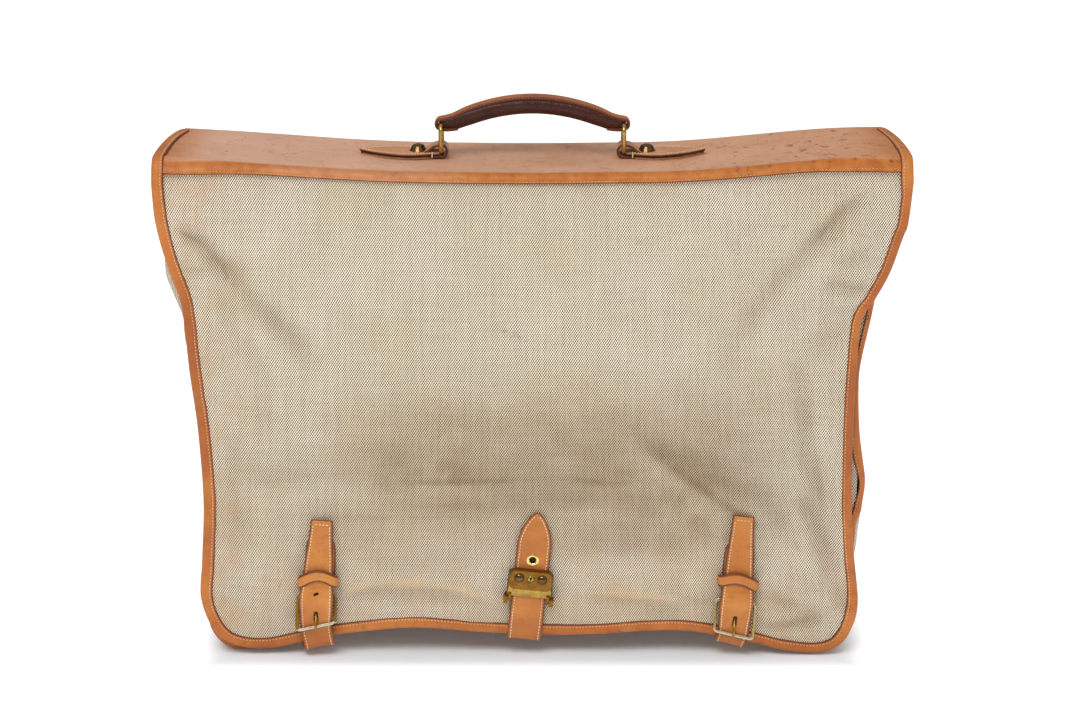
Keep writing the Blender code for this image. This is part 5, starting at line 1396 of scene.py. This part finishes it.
# the lock strap is darker all over, more so low down and near the tip, and lighter just below the lock
painted_light_and_wear = 0.42 + 0.3 * sstep(-14, -40, front_s) * (front_s > -90) + 0.35 * np.exp(-((front_s - tip + 9) / 5) ** 2) - 0.5 * np.exp(-((front_s + 26) / 5) ** 2)
blade = strap("lock_strap", at(bp_), Aw, Nw, half, 2.3, STRAP, crown=0.15, tone=np.clip(painted_light_and_wear, -1, 1))
cut(blade, [oval("cut_d", at, 0, 1.0, 0, 1.0, 3.7, -2, 12), oval("cut_e", at, 0, 19.6, 0, 19.6, 3.7, -2, 12)])
hinge = at((0, 3.4, low + 1.6 - pz))
b0, b1 = world(at((0, -1.2, low_s))), world(at((0, 3.4, low_s + 0.35)))
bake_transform(blade)
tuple(b0)
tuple(b1)
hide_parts("billet_centre", "strap_foot_centre")
th = Thread()
P_ = at(bp_)
sel = np.arange(3, len(bp_) - 2)
for e in (-1, 1):
    hh = np.maximum(half[sel] - 2.7, 0.0)
    ok = half[sel] > 3.0
    rowp = (P_[sel] + Aw[sel] * (e * hh)[:, None] + Nw[sel] * 1.2)[ok]
    th.row(rowp, Nw[sel][ok], 2.7, 0.68, 0.40, 0.10)
ob = th.make("lock_strap_stitches")
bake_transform(ob)
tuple(b0)
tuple(b1)

for nm, s in (("eyelet_lower", 1.0), ("eyelet_upper", 19.6)):
    c = at((0, float(n_mid(s)), s))
    prof = [(3.05, -1.3), (2.75, -0.6), (2.6, 0.6), (2.75, 1.55), (3.3, 2.05), (4.2, 2.12), (4.95, 1.85), (5.3, 1.25), (3.6, 1.2), (3.5, -1.3)]
    e = turned(nm + "_ring", prof, c, (0, -1, 0), BRASS_BRIGHT, 48)
    if nm == "eyelet_upper":        # painted shade: a dark disc in the hole, behind the strap
        e = join([e, turned("eyelet_dark", [(0, -1.0), (3.3, -1.0), (3.3, -1.3), (0, -1.3)], c, (0, -1, 0), HOLE_SHADE, 32)], nm + "_ring")
    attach(e, "billet_centre")
    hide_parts(nm)


def loft(name, loops, at, mat):
    """Closed solid through loops [(n, [(x, s), ...])] with the same number of points."""
    V, k = [], len(loops[0][1])
    for n, lp_ in loops:
        lp_ = np.asarray(lp_, float)
        V.append(at(np.c_[lp_[:, 0], np.full(k, n), lp_[:, 1]]))
    F = []
    for a in range(len(loops) - 1):
        for i in range(k):
            j = (i + 1) % k
            F.append([a * k + i, a * k + j, (a + 1) * k + j, (a + 1) * k + i])
    F += [list(range(k))[::-1], list(range((len(loops) - 1) * k, len(loops) * k))]
    return piece(name, np.vstack(V), F, mat, sharp=25)


# fixed plate under the strap, with two ears for the pin
plate = loft("lock_plate", [(0.35, [(-18.4, -17), (18.4, -17), (18.9, -16.4), (17.4, 5.0), (15.4, 8.4), (-15.4, 8.4), (-17.4, 5.0), (-18.9, -16.4)]),
                            (1.5, [(-18.4, -17), (18.4, -17), (18.9, -16.4), (17.4, 5.0), (15.4, 8.4), (-15.4, 8.4), (-17.4, 5.0), (-18.9, -16.4)])], at, BRASS_FACE)
soften(plate, 0.3, 2)
ears = []
for s in (-1, 1):
    x0, x1 = sorted((s * 17.0, s * 20.4))
    e = loft("ear", [(1.3, [(x0, -18), (x1, -18), (x1, -11.6), (x0, -11.6)]), (9.2, [(x0, -18), (x1, -18), (x1, -11.6), (x0, -11.6)]),
                     (10.2, [(x0, -17.2), (x1, -17.2), (x1, -12.2), (x0, -12.2)])], at, BRASS_FACE)
    ears.append(soften(e, 0.3, 2))
plate = join([plate] + ears, "lock_plate")
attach(plate, "flap")
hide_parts("lock_base")

# hinged cover: raised face with clipped lower corners and sloping lower edge
face, foot_ = [], []
for x, z, fx, fz in ((13.2, -4.6, 17.2, -12.2), (15.4, -3.6, 18.0, -12.0), (16.9, -1.6, 18.4, -11.4), (17.3, 0.6, 18.5, -10.2), (17.3, 6.4, 18.5, 6.6),
                     (16.9, 8.7, 18.2, 9.2), (15.9, 10.3, 17.2, 11.0), (14.4, 11.3, 15.6, 12.0), (12.6, 11.6, 13.6, 12.3)):
    face.append((x, z))
    foot_.append((fx, fz))
face = face + [(-x, z) for x, z in reversed(face)]
foot_ = foot_ + [(-x, z) for x, z in reversed(foot_)]
cover = loft("lock_cover_plate", [(5.6, foot_), (6.4, foot_), (10.4, face)], at, BRASS_LOCK)
cut(cover, [oval("cut_f", at, 0, 5.2, 0, 5.2, 2.7, 4, 14)])
soften(cover, 0.35, 2, 16)
cover.data.set_sharp_from_angle(angle=math.radians(9))
cover.data.materials.append(BRASS_FACE)
for f in cover.data.polygons:       # the sloping lower edge gets the paler brass as a painted reflection of the white floor; brown elsewhere
    if not (f.normal.z < -0.25 and f.normal.y < -0.5):
        f.material_index = 1
knuckles = []
for s in (-1, 1):
    bar = np.array([(s * x, 8.0, -13.8) for x in (14.5, 14.7, 16.5, 16.7)])
    knuckles.append(wire("knuckle", at(bar), [1.8, 2.05, 2.05, 1.8], BRASS_FACE, m=24))
    x0, x1 = sorted((s * 14.6, s * 16.6))
    knuckles.append(loft("web", [(6.0, [(x0, -16.2), (x1, -16.2), (x1, -9.5), (x0, -9.5)]), (9.4, [(x0, -16.2), (x1, -16.2), (x1, -9.5), (x0, -9.5)])], at, BRASS_FACE))
stud = turned("stud", [(0, 3.3), (1.7, 3.3), (1.8, 2.9), (1.8, -0.8), (0, -0.8)], at((0, 6.3, 0.6)), (0, 1, 0), BRASS_LOCK, 24)
cover = join([cover, stud] + knuckles, "lock_cover_plate")
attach(cover, "lock_cover")
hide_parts("lock_cover")
for s, nm in ((-1, "left"), (1, "right")):
    prof = [(0.0, 2.7)] + [(4.05 * math.sin(a), 2.7 * math.cos(a)) for a in np.radians(np.linspace(9, 88, 14))] + [(4.15, -0.1), (3.9, -0.3), (0.0, -0.3)]
    r = turned("cover_dome_" + nm, prof, at((s * 9.3, 10.25, 5.4)), (0, -1, 0), BRASS_DOME, 44)
    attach(r, "lock_cover")
    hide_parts("cover_rivet_" + nm)
plug = turned("lock_plug_face", [(0, 2.1), (1.9, 2.1), (2.3, 1.9), (2.5, 1.5), (2.5, -1.6), (0, -1.6)], at((0, 8.6, 5.2)), (0, -1, 0), BRASS, 40)
cut(plug, [oval("cut_g", at, 0, 5.9, 0, 6.0, 0.95, 9.0, 13), oval("cut_h", at, 0, 3.9, 0, 5.9, 0.5, 9.0, 13)])
# painted shade: a dark disc at the bottom of the keyhole
hole = turned("lock_keyhole_dark", [(0, 0.25), (1.5, 0.25), (1.5, 0), (0, 0)], at((0, 8.75, 5.2)), (0, -1, 0), HOLE_SHADE, 24)
plug = join([plug, hole], "lock_plug_face")
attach(plug, "lock_plug")
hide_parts("lock_plug")

# ---------------------------------------------------------------- handle: lugs, rivets, rings, grip
LOW_Z = float(z_cad(HANDLE_X)) + 5.9
HIGH_Z = LOW_Z + 21.2
for s, nm in ((-1, "left"), (1, "right")):
    # leaf sewn to the top
    us = np.unique(np.r_[np.linspace(0, 1, 60), 0.006, 0.994])
    ws = np.unique(np.r_[np.linspace(-1, 1, 26), -0.985, 0.985, -0.95, 0.95])
    Ug, Wg = np.meshgrid(us, ws, indexing="ij")
    lx = 74.0 + 63.8 * Ug
    hw = np.interp(Ug, [0, 0.08, 0.18, 0.30, 0.45, 0.62, 0.78, 0.90, 0.97, 1.0], [9.2, 9.8, 12.2, 14.6, 15.0, 13.2, 9.6, 5.4, 2.4, 0.9])
    ly = HANDLE_Y + Wg * hw
    rim = np.minimum((1 - np.abs(Wg)) * hw, (1 - Ug) * 63.8 + 0.3)
    hgt = 3.6 + 0.9 * np.clip(rim / 0.7, 0, 1) ** 0.5 + 0.25 * np.sin(np.clip(rim / 6, 0, 1) * math.pi / 2)
    lz = z_top(s * lx) + hgt
    e = np.clip(1.15 - rim / 0.75, 0, 1)
    leaf = shell("lug_leaf_" + nm, np.stack([s * lx, ly, lz], -1), hgt - 0.35, LUG, edge=e, out=(0, 0, 1))
    # neck and loop round the ring
    zt = float(z_top(s * 80))
    r0 = 4.8
    pts = [(99.0, zt + 1.4), (93.0, zt + 2.0), (88.0, zt + 3.3), (83.0, zt + 6.0), (78.6, LOW_Z + 3.4)]
    pts += [(HANDLE_X + r0 * math.cos(a), LOW_Z + r0 * math.sin(a)) for a in np.radians(np.linspace(72, 262, 12))]
    pts += [(77.5, zt + 1.6), (82.0, zt + 1.9)]
    neck = spline([(x, 0, z) for x, z in pts], step=0.9)
    t = tangents(neck)
    Al = np.broadcast_to(np.array([0.0, 1.0, 0.0]), t.shape)
    Nl = np.cross(t, Al) if False else np.cross(Al, t)
    if Nl[4, 2] < 0:
        Nl = -Nl
    hw2 = np.interp(np.linspace(0, 1, len(neck)), [0, 0.14, 0.30, 0.42, 0.75, 1], [9.0, 9.4, 8.6, 8.0, 8.4, 8.8])
    Cn = np.c_[s * neck[:, 0], neck[:, 1] + HANDLE_Y, neck[:, 2]]
    loop_ = strap("lug_loop_" + nm, Cn, Al, np.c_[s * Nl[:, 0], Nl[:, 1], Nl[:, 2]], hw2, np.interp(np.linspace(0, 1, len(neck)), [0, 0.1, 0.3, 1], [1.0, 1.8, 2.0, 2.0]), LUG, crown=0.1)
    lug = join([leaf, loop_], "lug_leather_" + nm)
    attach(lug, "top")
    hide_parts("lug_" + nm)
    th = Thread()
    uu_ = np.linspace(0.10, 0.965, 120)
    hwl = np.interp(uu_, [0, 0.08, 0.18, 0.30, 0.45, 0.62, 0.78, 0.90, 0.97, 1.0], [9.2, 9.8, 12.2, 14.6, 15.0, 13.2, 9.6, 5.4, 2.4, 0.9])
    xl = 74.0 + 63.8 * uu_
    for e in (-1, 1):
        yl = HANDLE_Y + e * np.maximum(hwl - 2.3, 0.15)
        th.row(np.c_[s * xl, yl, z_top(s * xl) + 4.74], (0, 0, 1), 2.4, 0.66, 0.38, 0.06)
        # thread wrapped over the edge at the inner end
        yy_ = HANDLE_Y + e * np.array([7.2, 8.6, 9.7, 10.2, 10.4])
        zz_ = float(z_top(s * 80.0)) + np.array([4.3, 4.35, 4.0, 2.4, 0.6])
        seam = np.c_[np.full(5, s * 79.6), yy_, zz_]
        nn = unit(np.c_[np.zeros(5), e * np.array([0, 0.2, 0.8, 1, 1]), np.array([1, 1, 0.6, 0.1, 0])])
        th.row(seam, nn, 7.0, 0.98, 0.45, 0.15)
    ob = th.make("lug_stitches_" + nm)
    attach(ob, "top")
    rx = s * 91.0
    zr = float(z_top(s * 91.0))
    prof = [(0.0, 10.2), (2.4, 10.1), (3.9, 9.7), (4.9, 8.9), (5.5, 7.9), (6.3, 6.0), (6.9, 5.2), (7.1, 4.8), (6.8, 4.4), (2.2, 4.4), (2.2, -7.6), (0, -7.6)]
    riv = turned("lug_rivet_dome_" + nm, prof, (rx, HANDLE_Y, zr), (0, 0, 1), BRASS_DOME, 48)
    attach(riv, "top")
    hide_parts("lug_rivet_" + nm)
    # ring
    pts = []
    for cy, cz, a0 in ((7.5, HIGH_Z - 5, 0), (-7.5, HIGH_Z - 5, 90), (-7.5, LOW_Z + 5, 180), (7.5, LOW_Z + 5, 270)):
        for k in range(9):
            a = math.radians(a0 + 90.0 * k / 8)
            pts.append((s * HANDLE_X, HANDLE_Y + cy + 5 * math.cos(a), cz + 5 * math.sin(a)))
    pts = even(np.array(pts + pts[:1]), 97)[:-1]
    t = tangents(pts, True)
    Ax = np.broadcast_to(np.array([1.0, 0, 0]), t.shape)
    ring = sweep("handle_ring_" + nm, pts, Ax, np.cross(t, Ax), circle(1.9, 16), BRASS, closed=True)
    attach(ring, "ring_" + nm)
    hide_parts("ring_" + nm)


def grip_z(x):
    return 448.3 - 0.0037 * np.asarray(x, float) ** 2


half_line = [(-59.5, HIGH_Z - 3.3), (-64.5, HIGH_Z - 4.0), (-68.8, HIGH_Z - 4.2)]
for a in np.radians(np.linspace(-100, -268, 9)):
    half_line.append((-HANDLE_X + 3.75 * math.cos(a), HIGH_Z + 3.75 * math.sin(a)))
half_line += [(-68.0, HIGH_Z + 4.7), (-62.0, float(grip_z(62)) + 6.4), (-54.0, float(grip_z(54)) + 6.9), (-44.0, float(grip_z(44)) + 7.0),
              (-30.0, float(grip_z(30)) + 7.0), (-15.0, float(grip_z(15)) + 7.0), (0.0, float(grip_z(0)) + 7.0)]
line = half_line + [(-x, z) for x, z in reversed(half_line[:-1])]
hp = spline([(x, 0, z) for x, z in line], step=0.9)
t = tangents(hp)
Al = np.broadcast_to(np.array([0.0, 1.0, 0.0]), t.shape)
Nl = np.cross(Al, t)
if Nl[len(Nl) // 2, 2] < 0:
    Nl = -Nl
ax_ = np.abs(hp[:, 0])
hw = np.interp(ax_, [0, 40, 58, 66, 80], [7.6, 7.7, 7.4, 7.0, 6.9])
strip = strap("handle_top_strip", np.c_[hp[:, 0], hp[:, 1] + HANDLE_Y, hp[:, 2]], Al, Nl, hw, 2.1, HANDLE, crown=0.55, r=0.8)
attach(strip, "handle")
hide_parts("handle_strap")
gx = np.linspace(-70.4, 70.4, 152)
sec = np.array([(7.2, 6.4), (8.3, 5.6), (9.0, 4.0), (9.3, 2.0), (9.1, -0.4), (8.3, -2.8), (6.9, -4.8), (4.8, -6.0), (2.4, -6.5), (0, -6.6)])
sec = np.vstack([sec, (sec[:-1] * [-1, 1])[::-1]])
es = np.zeros(len(sec))
es[[0, -1]] = 0.5
es[8:11] = 0.25
sc = np.interp(np.abs(gx), [0, 48, 58, 66, 70.4], [1.0, 1.0, 0.95, 0.84, 0.72])
low_k = np.interp(np.abs(gx), [0, 50, 62, 70.4], [0.92, 0.92, 0.82, 0.60])
S = np.repeat(sec[None], len(gx), 0)
S[..., 0] *= sc[:, None]
S[..., 1] = np.where(S[..., 1] < 2, 2 + (S[..., 1] - 2) * low_k[:, None], S[..., 1])
S[..., 0] *= (1 + 0.02 * vnoise(gx / 7, gx * 0, 121))[:, None]
gz = np.where(np.abs(gx) < 60, grip_z(gx), grip_z(60) - (np.abs(gx) - 60) * 0.22) - 0.3
slope = np.gradient(gz, gx)
tn = unit(np.c_[np.ones_like(gx), 0 * gx, slope])
nn = np.c_[-tn[:, 2], 0 * gx, tn[:, 0]]
grip = sweep("handle_grip_wrap", np.c_[gx, np.full(len(gx), HANDLE_Y), gz], np.array([0.0, 1.0, 0.0]), nn, S, DARK, edge=es)
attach(grip, "handle")
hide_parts("handle_grip")
th = Thread()
sel = np.where((ax_ < 64) & (hp[:, 2] > HIGH_Z + 2))[0]
for e in (-1, 1):
    th.row(np.c_[hp[sel, 0], hp[sel, 1] + HANDLE_Y + e * (hw[sel] - 0.5), hp[sel, 2] - 0.1] + Nl[sel] * 0.75, unit(Nl[sel] + np.array([0, 0.9 * e, 0])), 2.6, 0.6, 0.34, 0.02)
ob = th.make("handle_stitches", THREAD_DARK)
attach(ob, "handle")

# ---------------------------------------------------------------- pieces of the model that stay as they are
for node, mat in (("top_board", LINING_CAD), ("base_board", LINING_CAD), ("handle_core", CORD_CAD), ("lock_pin_left", BRASS_CAD), ("lock_pin_right", BRASS_CAD),
                  ("lug_washer_left", BRASS_CAD), ("lug_washer_right", BRASS_CAD)):
    o = frame["nodes"][node]
    o.data.materials.clear()
    o.data.materials.append(mat)

# ---------------------------------------------------------------- floor, light, camera
bpy.ops.mesh.primitive_plane_add(size=80.0, location=(0, 0, -0.0004))
floor = bpy.context.object
floor.name = "studio_floor"
fm = Mat("studio_white", rough=0.9, spec=0.1, frame_coords=True)
# a light table: the sweep glows white all round and leaves a plain patch under the object for its shadow
x, y, z = fm.xyz()
glow = fm.math('MAXIMUM', fm.ramp(fm.math('ABSOLUTE', x), 236.0, 300.0), fm.math('MAXIMUM', fm.ramp(y, -48.0, -98.0), fm.ramp(y, 50.0, 130.0)))
# painted light: the patch's cool tint, and the glow's, offset the warm light bounced from the leather into the shadow
plain = fm.mix(fm.ramp(fm.noise(900.0, 2.0), 0.3, 0.7), (0.86, 0.92, 0.96, 1), (0.88, 0.94, 0.98, 1))
fm.color(fm.mix(glow, plain, (0.45, 0.45, 0.45, 1)))
fm.b.inputs["Emission Color"].default_value = (0.97, 0.99, 1.0, 1.0)
fm.plug(fm.b.inputs["Emission Strength"], fm.ramp(glow, 0.0, 1.0, 0.06, 0.94))
floor.data.materials.append(fm.m)

wd = bpy.data.worlds.new("studio")
bpy.context.scene.world = wd
wd.use_nodes = True
bg = wd.node_tree.nodes["Background"]
bg.inputs[0].default_value = (1.0, 1.0, 1.0, 1.0)
tcw = wd.node_tree.nodes.new("ShaderNodeTexCoord")
sep = wd.node_tree.nodes.new("ShaderNodeSeparateXYZ")
mr = wd.node_tree.nodes.new("ShaderNodeMapRange")
mr.interpolation_type = 'SMOOTHSTEP'
mr.inputs["From Min"].default_value, mr.inputs["From Max"].default_value = -0.05, 0.85
mr.inputs["To Min"].default_value, mr.inputs["To Max"].default_value = 0.10, 0.62
wd.node_tree.links.new(tcw.outputs["Generated"], sep.inputs[0])
wd.node_tree.links.new(sep.outputs[2], mr.inputs["Value"])
lp = wd.node_tree.nodes.new("ShaderNodeLightPath")
backdrop = wd.node_tree.nodes.new("ShaderNodeMix")      # plain white where the backdrop itself is seen
backdrop.inputs[3].default_value = 1.2
wd.node_tree.links.new(lp.outputs["Is Camera Ray"], backdrop.inputs[0])
wd.node_tree.links.new(mr.outputs["Result"], backdrop.inputs[2])
wd.node_tree.links.new(backdrop.outputs[0], bg.inputs[1])


def area(name, loc, aim, size, power, color=(1, 1, 1)):
    l = bpy.data.lights.new(name, 'AREA')
    l.shape = 'RECTANGLE'
    l.size, l.size_y = size
    l.energy = power
    l.color = color
    o = link(bpy.data.objects.new(name, l))
    o.location = loc
    o.rotation_euler = (Vector(aim) - Vector(loc)).to_track_quat('-Z', 'Y').to_euler()
    return o


area("key_box", (-0.55, -1.65, 2.4), (0, 0, 0.2), (1.7, 1.2), 39.5)
area("side_box", (2.1, -1.2, 1.3), (0, 0, 0.25), (0.8, 1.4), 4.5)

cam = bpy.data.cameras.new("photo_camera")
cam.lens, cam.sensor_width = 92.42, 36.0
cam.clip_start, cam.clip_end = 0.05, 60.0
co = link(bpy.data.objects.new("photo_camera", cam))
co.location = (0.006, -2.149, 0.924)
co.rotation_euler = (math.radians(72.31), 0.0, 0.0)
bpy.context.scene.camera = co
vs = bpy.context.scene.view_settings
vs.view_transform = 'Standard'
vs.look = 'None'
vs.exposure = 0.0
vs.gamma = 1.0
